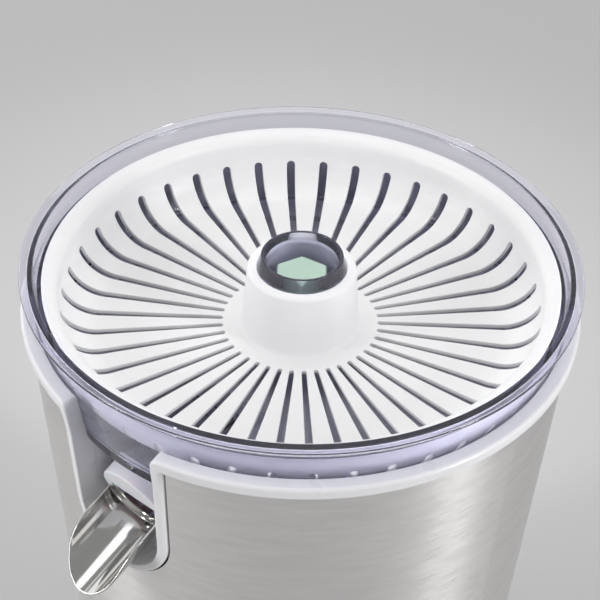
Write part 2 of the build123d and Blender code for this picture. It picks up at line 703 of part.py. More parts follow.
with BuildPart() as hex_coupling:
    with BuildSketch(Plane.XY.offset(HEX_FOOT)):
        RegularPolygon(HEX_FLATS / 2, 6, major_radius=False, rotation=HEX_TURN)
    extrude(amount=HEX_TOP - HEX_FOOT)
    fillet(edges().filter_by(Axis.Z), HEX_CORNER)
    chamfer(edges().group_by(Axis.Z)[-1], HEX_CHAMFER)
    with BuildSketch(Plane.XY.offset(SLINGER_FOOT)):
        Circle(SLINGER_RADIUS)
    extrude(amount=HEX_FOOT - SLINGER_FOOT)
    with BuildSketch(Plane.XY.offset(SLINGER_FOOT)):
        Circle(SHAFT_RADIUS + FIT_GAP)
    extrude(amount=HEX_FOOT - SLINGER_FOOT, mode=Mode.SUBTRACT)
    with BuildSketch(Plane.XY.offset(HEX_FOOT)):
        Circle(SHAFT_RADIUS + FIT_GAP)
        with Locations((SHAFT_FLAT + FIT_GAP + SHAFT_RADIUS, 0)):
            Rectangle(2 * SHAFT_RADIUS, 3 * SHAFT_RADIUS, mode=Mode.SUBTRACT)
    extrude(amount=SHAFT_TOP - HEX_FOOT, mode=Mode.SUBTRACT)
save(hex_coupling, "hex_coupling")

CLIP_Z = cover_top + 6.7
CLIP_THICKNESS = 1.0
CLIP_RADIUS = 7.5
CLIP_MOUTH = 5.0
GROOVE_RADIUS = 4.3
GROOVE_GAP = 0.1
BOLT_HEAD = 3.4
WHEEL_HOLES = 6
WHEEL_HOLE_RADIUS = 5.0
WHEEL_HOLE_CIRCLE = 17.5
WHEEL_HUB = 9.0
WHEEL_HUB_HEIGHT = 2.2
AXLE_CHAMFER = 0.4
COVER_SKIN = 1.0            # what stays of the cover over the axle's end
cover_bush_foot = BOX_TOP - 2

with BuildPart() as output_shaft:
    with BuildSketch(Plane.XY.offset(SHAFT_FOOT)):
        Circle(SHAFT_RADIUS)
    extrude(amount=SHAFT_TOP - SHAFT_FOOT)
    with BuildSketch(Plane.XY.offset(CLIP_Z - GROOVE_GAP)):
        Circle(SHAFT_RADIUS + PAST)
        Circle(GROOVE_RADIUS, mode=Mode.SUBTRACT)
    extrude(amount=CLIP_THICKNESS + 2 * GROOVE_GAP, mode=Mode.SUBTRACT)
    add(shaft_flat, mode=Mode.SUBTRACT)
save(output_shaft, "output_shaft")

with BuildPart() as retaining_clip:
    with BuildSketch(Plane.XY.offset(CLIP_Z)):
        Circle(CLIP_RADIUS)
        Circle(GROOVE_RADIUS + FIT_GAP, mode=Mode.SUBTRACT)
        with Locations((CLIP_RADIUS, 0)):
            Rectangle(2 * CLIP_RADIUS, CLIP_MOUTH, mode=Mode.SUBTRACT)
    extrude(amount=CLIP_THICKNESS)
save(retaining_clip, "retaining_clip")

with BuildPart() as output_gear:
    with BuildSketch(Plane.XY.offset(STAGE_TWO)):
        with BuildLine():
            Polyline(*gear_points(WHEEL_TEETH, 90 + 180 / WHEEL_TEETH), close=True)
        make_face()
        Circle(SHAFT_RADIUS, mode=Mode.SUBTRACT)
        with PolarLocations(WHEEL_HOLE_CIRCLE, WHEEL_HOLES):
            Circle(WHEEL_HOLE_RADIUS, mode=Mode.SUBTRACT)
    extrude(amount=STAGE_TWO_WIDTH)
    with BuildSketch(Plane.XY.offset(STAGE_TWO + STAGE_TWO_WIDTH)):
        Circle(WHEEL_HUB)
        Circle(SHAFT_RADIUS, mode=Mode.SUBTRACT)
    extrude(amount=WHEEL_HUB_HEIGHT)
save(output_gear, "output_gear")

BOSS_RADIUS = 5.5
BOSS_DROP = 1.5
PINION_LENGTH = 13.0

with BuildPart() as layshaft_gear:
    with BuildSketch(Plane.XY.offset(STAGE_ONE)):
        with BuildLine():
            outline = gear_points(WHEEL_TEETH, -90 + 180 / WHEEL_TEETH, (0, LAYSHAFT_Y))
            Polyline(*outline, close=True)
        make_face()
        with Locations((0, LAYSHAFT_Y)):
            Circle(BOSS_RADIUS, mode=Mode.SUBTRACT)
            with PolarLocations(WHEEL_HOLE_CIRCLE, WHEEL_HOLES):
                Circle(WHEEL_HOLE_RADIUS, mode=Mode.SUBTRACT)
    extrude(amount=STAGE_ONE_WIDTH)
save(layshaft_gear, "layshaft_gear")

with BuildPart() as layshaft_pinion:
    with BuildSketch(Plane.XY.offset(STAGE_ONE - BOSS_DROP)):
        with Locations((0, LAYSHAFT_Y)):
            Circle(BOSS_RADIUS)
    extrude(amount=STAGE_ONE_WIDTH + BOSS_DROP)
    with BuildSketch(Plane.XY.offset(STAGE_ONE + STAGE_ONE_WIDTH)):
        with BuildLine():
            Polyline(*gear_points(PINION_TEETH, -90, (0, LAYSHAFT_Y)), close=True)
        make_face()
    extrude(amount=PINION_LENGTH)
    with BuildSketch(Plane.XY.offset(STAGE_ONE - BOSS_DROP)):
        with Locations((0, LAYSHAFT_Y)):
            Circle(AXLE_RADIUS + RUNNING_GAP)
    extrude(amount=BOSS_DROP + STAGE_ONE_WIDTH + PINION_LENGTH, mode=Mode.SUBTRACT)
save(layshaft_pinion, "layshaft_pinion")

with BuildPart() as layshaft_axle:
    with BuildSketch(Plane.XY.offset(BOX_FOOT)):
        with Locations((0, LAYSHAFT_Y)):
            Circle(AXLE_RADIUS)
    extrude(amount=cover_top - COVER_SKIN - BOX_FOOT)
    chamfer(edges().filter_by(GeomType.CIRCLE), AXLE_CHAMFER)
save(layshaft_axle, "layshaft_axle")

# ================================================================ gearbox
BOX_SCREW_CIRCLE = 36.0
BOX_SCREWS = [
    (BOX_SCREW_CIRCLE, LAYSHAFT_Y / 2),
    (-BOX_SCREW_CIRCLE, LAYSHAFT_Y / 2),
    (0, -BOX_SCREW_CIRCLE),
    (0, LAYSHAFT_Y + BOX_SCREW_CIRCLE),
]
BOX_SCREW_RADIUS = 1.5
BOX_SCREW_BOSS = 4.5
BOX_SCREW_HEAD = 3.0
BOX_SCREW_LENGTH = 8.0
SCREW_HEAD_HEIGHT = 2.2
KEY_RADIUS = 1.3
FLANGE_MARGIN = 6.0         # the gearbox's mounting square round the motor's bolts
BUSH_WALL = 3.0
BUSH_COLLAR = 5.0
box_outside = BOX_INSIDE + BOX_WALL

with BuildPart() as gearbox_housing:
    with BuildSketch(Plane.XY.offset(BOX_FOOT)):
        with Locations((0, LAYSHAFT_Y / 2)):
            SlotCenterToCenter(LAYSHAFT_Y, 2 * box_outside, rotation=90)
        with Locations(*BOX_SCREWS):
            Circle(BOX_SCREW_BOSS)
    extrude(amount=BOX_TOP - BOX_FOOT)
    flange = 2 * (MOTOR_BOLT + FLANGE_MARGIN)
    with BuildSketch(Plane.XY.offset(BOX_FOOT)):
        RectangleRounded(flange, flange, FLANGE_MARGIN)
    extrude(amount=BOX_FLOOR + 1)
    with BuildSketch(Plane.XY.offset(BOX_FOOT + BOX_FLOOR)):
        with Locations((0, LAYSHAFT_Y / 2)):
            SlotCenterToCenter(LAYSHAFT_Y, 2 * BOX_INSIDE, rotation=90)
    extrude(amount=BOX_TOP - BOX_FOOT, mode=Mode.SUBTRACT)
    with BuildSketch(Plane.XY.offset(BOX_FOOT)):
        Circle(BUSH_RADIUS + HOLE_GAP)
        with Locations((0, LAYSHAFT_Y)):
            Circle(AXLE_RADIUS)
        with Locations(*corners(MOTOR_BOLT, MOTOR_BOLT)):
            Circle(MOTOR_BOLT_RADIUS)
    extrude(amount=BOX_FLOOR + 1, mode=Mode.SUBTRACT)
    with BuildSketch(Plane.XY.offset(BOX_TOP - SCREW_HOLE)):
        with Locations(*BOX_SCREWS):
            Circle(BOX_SCREW_RADIUS)
    extrude(amount=SCREW_HOLE, mode=Mode.SUBTRACT)
save(gearbox_housing, "gearbox_housing")

with BuildPart() as gearbox_cover:
    with BuildSketch(Plane.XY.offset(BOX_TOP)):
        with Locations((0, LAYSHAFT_Y / 2)):
            SlotCenterToCenter(LAYSHAFT_Y, 2 * box_outside, rotation=90)
        with Locations(*BOX_SCREWS):
            Circle(BOX_SCREW_BOSS)
        for y in (0, LAYSHAFT_Y):
            with Locations((0, y)):
                SlotCenterToCenter(2 * MOUNT_X, 2 * MOUNT_LUG)
    extrude(amount=BOX_COVER)
    with BuildSketch(Plane.XY.offset(cover_top)):
        Circle(BUSH_RADIUS + BUSH_WALL)
    extrude(amount=BUSH_COLLAR)
    with BuildSketch(Plane.XY.offset(BOX_TOP)):
        Circle(BUSH_RADIUS)
        with Locations(*BOX_SCREWS):
            Circle(BOX_SCREW_RADIUS)
        with Locations(*MOUNT_SPOTS):
            Circle(MOUNT_SCREW + MOUNT_CLEAR)
    extrude(amount=BOX_COVER + BUSH_COLLAR, mode=Mode.SUBTRACT)
    with BuildSketch(Plane.XY.offset(BOX_TOP)):
        with Locations((0, LAYSHAFT_Y)):
            Circle(AXLE_RADIUS)
    extrude(amount=BOX_COVER - COVER_SKIN, mode=Mode.SUBTRACT)
save(gearbox_cover, "gearbox_cover")

with BuildPart() as cover_bush:
    with BuildSketch(Plane.XY.offset(cover_bush_foot)):
        Circle(BUSH_RADIUS)
        Circle(SHAFT_RADIUS + RUNNING_GAP, mode=Mode.SUBTRACT)
    extrude(amount=BUSH_LENGTH)
save(cover_bush, "cover_bush")

with BuildPart() as gearbox_screws:
    with BuildSketch(Plane.XY.offset(BOX_TOP - BOX_SCREW_LENGTH)):
        with Locations(*BOX_SCREWS):
            Circle(BOX_SCREW_RADIUS)
    extrude(amount=BOX_COVER + BOX_SCREW_LENGTH)
    with BuildSketch(Plane.XY.offset(cover_top)):
        with Locations(*BOX_SCREWS):
            Circle(BOX_SCREW_HEAD)
            RegularPolygon(KEY_RADIUS, 6, mode=Mode.SUBTRACT)
    extrude(amount=SCREW_HEAD_HEIGHT)
save(gearbox_screws, "gearbox_screws")

with BuildPart() as rubber_mounts:
    with BuildSketch(Plane.XY.offset(cover_top)):
        with Locations(*MOUNT_SPOTS):
            Circle(MOUNT_LUG - HOLE_GAP)
            Circle(MOUNT_SCREW, mode=Mode.SUBTRACT)
    extrude(amount=CUSHION)
save(rubber_mounts, "rubber_mounts")

with BuildPart() as mount_screws:
    with BuildSketch(Plane.XY.offset(BOX_TOP - SCREW_HEAD_HEIGHT)):
        with Locations(*MOUNT_SPOTS):
            Circle(BOLT_HEAD)
    extrude(amount=SCREW_HEAD_HEIGHT)
    with BuildSketch(Plane.XY.offset(BOX_TOP)):
        with Locations(*MOUNT_SPOTS):
            Circle(MOUNT_SCREW)
    extrude(amount=BOX_COVER + CUSHION + MOUNT_THREAD)
save(mount_screws, "mount_screws")

# ================================================================ motor
stack_top = STACK_FOOT + STACK_HEIGHT
bolt_spots = corners(MOTOR_BOLT, MOTOR_BOLT)

with BuildPart() as stator:
    with BuildSketch(Plane.XY.offset(STACK_FOOT)):
        Circle(MOTOR_CORNER)
        Rectangle(MOTOR_SIDE, MOTOR_SIDE, mode=Mode.INTERSECT)
        Circle(STATOR_BORE, mode=Mode.SUBTRACT)
        for side in (0, 180):
            with BuildLine():
                window = sector(
                    STATOR_BORE - 1, WINDOW_RADIUS, side - WINDOW_ANGLE, side + WINDOW_ANGLE
                )
                Polyline(*window, close=True)
            make_face(mode=Mode.SUBTRACT)
        with Locations(*bolt_spots):
            Circle(MOTOR_BOLT_RADIUS, mode=Mode.SUBTRACT)
    extrude(amount=STACK_HEIGHT)
save(stator, "stator")

COIL_INNER = 28.2
COIL_OUTER = 36.2
COIL_SPAN = 60.0
COIL_HEAD = 9.0
COIL_GAP = 0.4              # clearance between the coils and the poles they sit round
POLE_GAP = 0.6
COIL_CUT = 2.0

with BuildPart() as field_coils:
    for middle in (90, 270):
        with BuildSketch(Plane.XY.offset(STACK_FOOT - COIL_HEAD)):
            with BuildLine():
                span = sector(COIL_INNER, COIL_OUTER, middle - COIL_SPAN, middle + COIL_SPAN)
                Polyline(*span, close=True)
            make_face()
        extrude(amount=STACK_HEIGHT + 2 * COIL_HEAD)
        with BuildSketch(Plane.XY.offset(STACK_FOOT - COIL_GAP)):
            with BuildLine():
                pole = 90 - WINDOW_ANGLE + POLE_GAP
                cut = sector(COIL_INNER - COIL_CUT, COIL_OUTER + COIL_CUT, middle - pole, middle + pole)
                Polyline(*cut, close=True)
            make_face()
        extrude(amount=STACK_HEIGHT + 2 * COIL_GAP, mode=Mode.SUBTRACT)
save(field_coils, "field_coils")

SLOTS = 12
SLOT_DEPTH = 9.0
SLOT_OPENING = 3.4
WINDING_WIDTH = 3.0
WINDING_GAP = 0.8
WINDING_DROP = 0.6
WINDING_CHAMFER = 3.0
HUB_RADIUS = 9.0

with BuildPart() as armature_core:
    with BuildSketch(Plane.XY.offset(STACK_FOOT)):
        Circle(ARMATURE_RADIUS)
        Circle(ROTOR_RADIUS, mode=Mode.SUBTRACT)
        with PolarLocations(ARMATURE_RADIUS - SLOT_DEPTH / 2, SLOTS):
            Rectangle(SLOT_DEPTH, SLOT_OPENING, mode=Mode.SUBTRACT)
    extrude(amount=STACK_HEIGHT)
save(armature_core, "armature_core")

with BuildPart() as armature_windings:
    with BuildSketch(Plane.XY.offset(STACK_FOOT)):
        with PolarLocations(ARMATURE_RADIUS - SLOT_DEPTH / 2 - WINDING_DROP, SLOTS):
            Rectangle(SLOT_DEPTH - 2 * WINDING_GAP, WINDING_WIDTH)
    extrude(amount=STACK_HEIGHT)
    for level in (STACK_FOOT - COIL_HEAD, stack_top):
        with BuildSketch(Plane.XY.offset(level)):
            Circle(ARMATURE_RADIUS - COIL_CUT)
            Circle(HUB_RADIUS, mode=Mode.SUBTRACT)
        extrude(amount=COIL_HEAD)
    chamfer(edges().group_by(Axis.Z)[-1].sort_by(SortBy.RADIUS)[-1], WINDING_CHAMFER)
    chamfer(edges().group_by(Axis.Z)[0].sort_by(SortBy.RADIUS)[-1], WINDING_CHAMFER)
save(armature_windings, "armature_windings")

COMMUTATOR_FOOT = 74.0
COMMUTATOR_RADIUS = 12.5
COMMUTATOR_LENGTH = 17.0
RISER_RADIUS = 14.0
RISER_HEIGHT = 2.0
BAR_CUT = 1.6
BAR_CUT_WIDTH = 0.5

with BuildPart() as commutator:
    with BuildSketch(Plane.XY.offset(COMMUTATOR_FOOT)):
        Circle(COMMUTATOR_RADIUS)
        Circle(ROTOR_RADIUS, mode=Mode.SUBTRACT)
    extrude(amount=COMMUTATOR_LENGTH)
    with BuildSketch(Plane.XY.offset(COMMUTATOR_FOOT + COMMUTATOR_LENGTH)):
        Circle(RISER_RADIUS)
        Circle(ROTOR_RADIUS, mode=Mode.SUBTRACT)
    extrude(amount=RISER_HEIGHT)
    with BuildSketch(Plane.XY.offset(COMMUTATOR_FOOT)):
        with PolarLocations(COMMUTATOR_RADIUS, 2 * SLOTS):
            Rectangle(BAR_CUT, BAR_CUT_WIDTH)
    extrude(amount=COMMUTATOR_LENGTH, mode=Mode.SUBTRACT)
save(commutator, "commutator")

with BuildPart() as rotor_shaft:
    with BuildSketch(Plane.XY.offset(ROTOR_FOOT)):
        Circle(ROTOR_RADIUS)
    extrude(amount=STAGE_ONE - 1 - ROTOR_FOOT)
    with BuildSketch(Plane.XY.offset(STAGE_ONE - 1)):
        with BuildLine():
            Polyline(*gear_points(PINION_TEETH, 90), close=True)
        make_face()
    extrude(amount=ROTOR_TOP - STAGE_ONE + 1)
save(rotor_shaft, "rotor_shaft")

FAN_FOOT = 156.0
FAN_HEIGHT = 10.0
FAN_RADIUS = 35.0
FAN_DISC = 1.6
FAN_BLADES = 11
BLADE_MIDDLE = 22.0
BLADE_LENGTH = 24.0
BLADE_WIDTH = 1.4
BLADE_TURN = 25

with BuildPart() as cooling_fan:
    with BuildSketch(Plane.XY.offset(FAN_FOOT)):
        Circle(HUB_RADIUS)
        Circle(ROTOR_RADIUS, mode=Mode.SUBTRACT)
    extrude(amount=FAN_HEIGHT)
    with BuildSketch(Plane.XY.offset(FAN_FOOT + FAN_HEIGHT - FAN_DISC)):
        Circle(FAN_RADIUS)
        Circle(ROTOR_RADIUS, mode=Mode.SUBTRACT)
    extrude(amount=FAN_DISC)
    with BuildSketch(Plane.XY.offset(FAN_FOOT)):
        with PolarLocations(BLADE_MIDDLE, FAN_BLADES):
            Rectangle(BLADE_LENGTH, BLADE_WIDTH, rotation=BLADE_TURN)
    extrude(amount=FAN_HEIGHT)
save(cooling_fan, "cooling_fan")

LEG_RADIUS = 5.5
BRACKET_PLATE = 4.0
AIR_HOLE_X = 28.0
BRUSH_X = 16.0
BRUSH_LENGTH = 24.0
BRUSH_Z = COMMUTATOR_FOOT + 8
HOLDER_WIDTH = 13.0
HOLDER_HEIGHT = 12.0
CARBON = (18.0, 7.8, 5.8)   # length, width and height of each carbon brush
CARBON_GAP = 0.4
CARBON_SLIDE = 0.1


def bracket_plate_sketch():
    Circle(MOTOR_CORNER)
    Rectangle(MOTOR_SIDE, MOTOR_SIDE, mode=Mode.INTERSECT)


with BuildPart() as upper_motor_bracket:
    with BuildSketch(Plane.XY.offset(BOX_FOOT - BRACKET_PLATE)):
        bracket_plate_sketch()
        with PolarLocations(AIR_HOLE_X, 4):
            SlotOverall(16, 10, rotation=90, mode=Mode.SUBTRACT)
    extrude(amount=BRACKET_PLATE)
    with BuildSketch(Plane.XY.offset(stack_top)):
        with Locations(*bolt_spots):
            Circle(LEG_RADIUS)
    extrude(amount=BOX_FOOT - BRACKET_PLATE - stack_top)
    with BuildSketch(Plane.XY.offset(BOX_FOOT - BUSH_LENGTH)):
        Circle(BUSH_RADIUS + BUSH_WALL)
    extrude(amount=BUSH_LENGTH)
    with BuildSketch(Plane.XY.offset(stack_top)):
        Circle(BUSH_RADIUS)
        with Locations(*bolt_spots):
            Circle(MOTOR_BOLT_RADIUS)
    extrude(amount=BOX_FOOT - stack_top, mode=Mode.SUBTRACT)
save(upper_motor_bracket, "upper_motor_bracket")

brush_shelf = BRUSH_Z - HOLDER_HEIGHT / 2

with BuildPart() as lower_motor_bracket:
    with BuildSketch(Plane.XY.offset(MOTOR_FOOT)):
        bracket_plate_sketch()
        with PolarLocations(AIR_HOLE_X, 2, start_angle=90):
            SlotOverall(30, 12, rotation=90, mode=Mode.SUBTRACT)
    extrude(amount=BRACKET_PLATE)
    with BuildSketch(Plane.XY.offset(MOTOR_FOOT + BRACKET_PLATE)):
        with Locations(*bolt_spots):
            Circle(LEG_RADIUS)
    extrude(amount=STACK_FOOT - MOTOR_FOOT - BRACKET_PLATE)
    with BuildSketch(Plane.XY.offset(MOTOR_FOOT)):
        Circle(BUSH_RADIUS + BUSH_WALL)
    extrude(amount=BUSH_LENGTH)
    with BuildSketch(Plane.XY.offset(MOTOR_FOOT + BRACKET_PLATE)):
        with Locations((30, 0), (-30, 0)):
            Rectangle(14, 16)
    extrude(amount=brush_shelf - MOTOR_FOOT - BRACKET_PLATE)
    with BuildSketch(Plane.XY.offset(MOTOR_FOOT)):
        Circle(BUSH_RADIUS)
        with Locations(*bolt_spots):
            Circle(MOTOR_BOLT_RADIUS)
    extrude(amount=STACK_FOOT - MOTOR_FOOT, mode=Mode.SUBTRACT)
save(lower_motor_bracket, "lower_motor_bracket")

with BuildPart() as brush_holders:
    with BuildSketch(Plane.XY.offset(brush_shelf)):
        for side in (1, -1):
            with Locations((side * (BRUSH_X + BRUSH_LENGTH / 2), 0)):
                Rectangle(BRUSH_LENGTH, HOLDER_WIDTH)
    extrude(amount=HOLDER_HEIGHT)
    with BuildSketch(Plane.YZ.offset(-BRUSH_X - BRUSH_LENGTH)):
        with Locations((0, BRUSH_Z)):
            Rectangle(CARBON[1] + 2 * CARBON_SLIDE, CARBON[2] + 2 * CARBON_SLIDE)
    extrude(amount=2 * (BRUSH_X + BRUSH_LENGTH), mode=Mode.SUBTRACT)
save(brush_holders, "brush_holders")

with BuildPart() as carbon_brushes:
    with BuildSketch(Plane.XY.offset(BRUSH_Z - CARBON[2] / 2)):
        for side in (1, -1):
            with Locations((side * (COMMUTATOR_RADIUS + CARBON_GAP + CARBON[0] / 2), 0)):
                Rectangle(CARBON[0], CARBON[1])
    extrude(amount=CARBON[2])
save(carbon_brushes, "carbon_brushes")

for name, foot in (("upper_motor_bush", BOX_FOOT - BUSH_LENGTH), ("lower_motor_bush", MOTOR_FOOT)):
    with BuildPart() as motor_bush:
        with BuildSketch(Plane.XY.offset(foot)):
            Circle(BUSH_RADIUS)
            Circle(ROTOR_RADIUS + RUNNING_GAP, mode=Mode.SUBTRACT)
        extrude(amount=BUSH_LENGTH)
    save(motor_bush, name)

MOTOR_HEAD = 4.0
MOTOR_HEAD_HEIGHT = 3.2

with BuildPart() as motor_bolts:
    with BuildSketch(Plane.XY.offset(MOTOR_FOOT)):
        with Locations(*bolt_spots):
            Circle(MOTOR_BOLT_RADIUS)
    extrude(amount=BOX_FOOT + BOX_FLOOR + 1 - MOTOR_FOOT)
    with BuildSketch(Plane.XY.offset(MOTOR_FOOT)):
        with Locations(*bolt_spots):
            RegularPolygon(MOTOR_HEAD, 6)
    extrude(amount=-MOTOR_HEAD_HEIGHT)
save(motor_bolts, "motor_bolts")

# ================================================================ base
GROOVE_INSIDE = 85.0
GROOVE_OUTSIDE = 87.3
foot_spots = [(FOOT_CIRCLE, 0), (0, FOOT_CIRCLE), (-FOOT_CIRCLE, 0), (0, -FOOT_CIRCLE)]
BOARD_SPOTS = corners(38, 24)
BOARD_BOSS = 3.5
BOARD_SCREW = 1.4
BOARD = (88.0, 60.0, 1.6)
ROD_HEAD = 5.0
ROD_RECESS = 5.0
ROD_COVER = 5.5
HEAD_FOOT = 1.6
HEAD_KEY = 2.2
PLUG = 3.0
PLUG_HEAD = 4.4
PLUG_HEAD_HEIGHT = 2.0
LIP_WALL = 2.0
VENTS = 16
VENT_CIRCLE = 28.0
VENT = (18.0, 3.0)

with BuildPart() as base_plate:
    with BuildSketch(Plane.XZ):
        with BuildLine():
            Polyline(
                (0, FOOT_HEIGHT),
                (BASE_RADIUS - 1, FOOT_HEIGHT),
                (BASE_RADIUS, FOOT_HEIGHT + 1),
                (BASE_RADIUS, BASE_LIP),
                (GROOVE_OUTSIDE, BASE_LIP),
                (GROOVE_OUTSIDE, PLATE_TOP),
                (GROOVE_INSIDE, PLATE_TOP),
                (GROOVE_INSIDE, BASE_LIP),
                (GROOVE_INSIDE - LIP_WALL, BASE_LIP),
                (GROOVE_INSIDE - LIP_WALL, PLATE_TOP),
                (0, PLATE_TOP),
                close=True,
            )
        make_face()
        fillet(vertices().sort_by_distance((BASE_RADIUS, BASE_LIP))[0], 1)
    revolve(axis=Axis.Z)
    with BuildSketch(Plane.XY.offset(PLATE_TOP)):
        with Locations(*corners(TIE_ROD, TIE_ROD)):
            Circle(ROD_HEAD + BASE_WALL)
    extrude(amount=ROD_COVER)
    with BuildSketch(Plane.XY.offset(PLATE_TOP)):
        with Locations(*BOARD_SPOTS):
            Circle(BOARD_BOSS)
    extrude(amount=BOARD_TOP - BOARD[2] - PLATE_TOP)
    with BuildSketch(Plane.XY.offset(FOOT_HEIGHT)):
        with Locations(*corners(TIE_ROD, TIE_ROD)):
            Circle(ROD_HEAD + HOLE_GAP)
    extrude(amount=ROD_RECESS, mode=Mode.SUBTRACT)
    with BuildSketch(Plane.XY.offset(FOOT_HEIGHT)):
        with Locations(*corners(TIE_ROD, TIE_ROD)):
            Circle(TIE_ROD_RADIUS + FIT_GAP)
        with Locations(*foot_spots):
            Circle(PLUG)
        with PolarLocations(VENT_CIRCLE, VENTS, start_angle=180 / VENTS):
            SlotOverall(*VENT)
    extrude(amount=PLATE + ROD_COVER + PAST, mode=Mode.SUBTRACT)
save(base_plate, "base_plate")

rod_foot = FOOT_HEIGHT + ROD_RECESS

with BuildPart() as tie_rods:
    with BuildSketch(Plane.XY.offset(rod_foot)):
        with Locations(*corners(TIE_ROD, TIE_ROD)):
            Circle(TIE_ROD_RADIUS)
    extrude(amount=deck_foot - BUSH_WALL - rod_foot)
    with BuildSketch(Plane.XY.offset(FOOT_HEIGHT + HEAD_FOOT)):
        with Locations(*corners(TIE_ROD, TIE_ROD)):
            Circle(ROD_HEAD)
    extrude(amount=ROD_RECESS - HEAD_FOOT)
    with BuildSketch(Plane.XY.offset(FOOT_HEIGHT + HEAD_FOOT)):
        with Locations(*corners(TIE_ROD, TIE_ROD)):
            RegularPolygon(HEAD_KEY, 6)
    extrude(amount=HEAD_KEY, mode=Mode.SUBTRACT)
save(tie_rods, "tie_rods")

with BuildPart() as rubber_feet:
    for x, y in foot_spots:
        with BuildSketch(Plane.XY):
            with Locations((x, y)):
                Circle(FOOT_RADIUS)
        extrude(amount=FOOT_HEIGHT, taper=4)
        with BuildSketch(Plane.XY.offset(FOOT_HEIGHT)):
            with Locations((x, y)):
                Circle(PLUG)
        extrude(amount=PLATE)
        with BuildSketch(Plane.XY.offset(PLATE_TOP)):
            with Locations((x, y)):
                Circle(PLUG_HEAD)
        extrude(amount=PLUG_HEAD_HEIGHT, taper=20)
save(rubber_feet, "rubber_feet")

BLOCK = (10.0, 7.0)         # the four relay and terminal blocks on the board
BLOCK_GRID = (16.0, 18.0)
BLOCK_HEIGHT = 6.0
CAPACITOR = (12.0, 26.0, 20.0)
CAPACITOR_X = -31.0
CAPACITOR_CORNER = 1.5
CAPACITOR_EDGE = 1.2

with BuildPart() as circuit_board:
    with BuildSketch(Plane.XY.offset(BOARD_TOP - BOARD[2])):
        RectangleRounded(BOARD[0], BOARD[1], BOARD_BOSS)
        with Locations(*BOARD_SPOTS):
            Circle(BOARD_SCREW, mode=Mode.SUBTRACT)
    extrude(amount=BOARD[2])
    with BuildSketch(Plane.XY.offset(BOARD_TOP)):
        with GridLocations(*BLOCK_GRID, 2, 2):
            Rectangle(*BLOCK)
    extrude(amount=BLOCK_HEIGHT)
save(circuit_board, "circuit_board")

with BuildPart() as suppressor_capacitor:
    with BuildSketch(Plane.XY.offset(BOARD_TOP)):
        with Locations((CAPACITOR_X, 0)):
            RectangleRounded(CAPACITOR[0], CAPACITOR[1], CAPACITOR_CORNER)
    extrude(amount=CAPACITOR[2])
    fillet(edges().group_by(Axis.Z)[-1], CAPACITOR_EDGE)
save(suppressor_capacitor, "suppressor_capacitor")

# ================================================================ switch and cord inlet
BEZEL_FLANGE = (26.0, 35.0)
BEZEL_FRONT = 2.4
BEZEL_BACK = 0.15
BEZEL_DEPTH = 14.0
BEZEL_CORNER = 3.0
BEZEL_ROUND = 0.9
WINDOW = (17.6, 25.6)
ROCKER_WIDTH = 17.0
ROCKER_HALF = 10.8
ROCKER_PIN = 1.4
ROCKER_CREST = 4.6          # height of the rocker's middle over its pivot
ROCKER_ROUND = 0.8
ROCKER_UNDER = 1.0
PIN_GAP = 0.2

with BuildPart() as rocker_bezel:
    with BuildSketch(rocker_surface.offset(BEZEL_BACK)):
        RectangleRounded(*BEZEL_FLANGE, BEZEL_CORNER)
    extrude(amount=BEZEL_FRONT - BEZEL_BACK)
    fillet(edges().group_by(Axis.Y)[0], BEZEL_ROUND)
    with BuildSketch(rocker_surface.offset(-BEZEL_DEPTH)):
        Rectangle(*BEZEL_BODY)
    extrude(amount=BEZEL_DEPTH + BEZEL_BACK)
    with BuildSketch(rocker_surface.offset(-BEZEL_DEPTH)):
        Rectangle(*WINDOW)
    extrude(amount=BEZEL_DEPTH + BEZEL_FRONT, mode=Mode.SUBTRACT)
    with BuildSketch(Plane(rocker_surface.offset(-ROCKER_PIVOT).origin, x_dir=(0, 1, 0), z_dir=(1, 0, 0))):
        Circle(ROCKER_PIN + FIT_GAP)
    extrude(amount=BEZEL_BODY[0], both=True, mode=Mode.SUBTRACT)
save(rocker_bezel, "rocker_bezel")

pivot = rocker_surface.offset(-ROCKER_PIVOT).origin
rocker_lean = atan(CONE_SLOPE) + radians(ROCKER_TILT)
rocker_plane = Plane(origin=pivot, x_dir=(0, -sin(rocker_lean), cos(rocker_lean)), z_dir=(1, 0, 0))
rocker_end = ROCKER_CREST + ROCKER_HALF * tan(radians(ROCKER_TILT))

with BuildPart() as power_rocker:
    with BuildSketch(rocker_plane.offset(-ROCKER_WIDTH / 2)):
        with BuildLine():
            Polyline(
                (-ROCKER_HALF, rocker_end),
                (0, ROCKER_CREST),
                (ROCKER_HALF, rocker_end),
                (ROCKER_HALF, -ROCKER_UNDER),
                (-ROCKER_HALF, -ROCKER_UNDER),
                close=True,
            )
        make_face()
        fillet(vertices().group_by(Axis.Y)[-1], ROCKER_ROUND)
    extrude(amount=ROCKER_WIDTH)
    with BuildSketch(rocker_plane.offset(-BEZEL_BODY[0] / 2 + PIN_GAP)):
        Circle(ROCKER_PIN)
    extrude(amount=BEZEL_BODY[0] - 2 * PIN_GAP)
save(power_rocker, "power_rocker")

SWITCH_BACK = 22.0
SWITCH_DEPTH = 13.0
TAB = (6.3, 0.8)            # the flat terminals behind the switch
TAB_LENGTH = 8.0

with BuildPart() as switch_body:
    with BuildSketch(rocker_surface.offset(-SWITCH_BACK)):
        Rectangle(WINDOW[0] - PIN_GAP, WINDOW[1] - PIN_GAP)
    extrude(amount=SWITCH_DEPTH)
    with BuildSketch(rocker_surface.offset(-SWITCH_BACK - TAB_LENGTH)):
        with GridLocations(0, TAB_LENGTH, 1, 3):
            Rectangle(*TAB)
    extrude(amount=TAB_LENGTH)
save(switch_body, "switch_body")

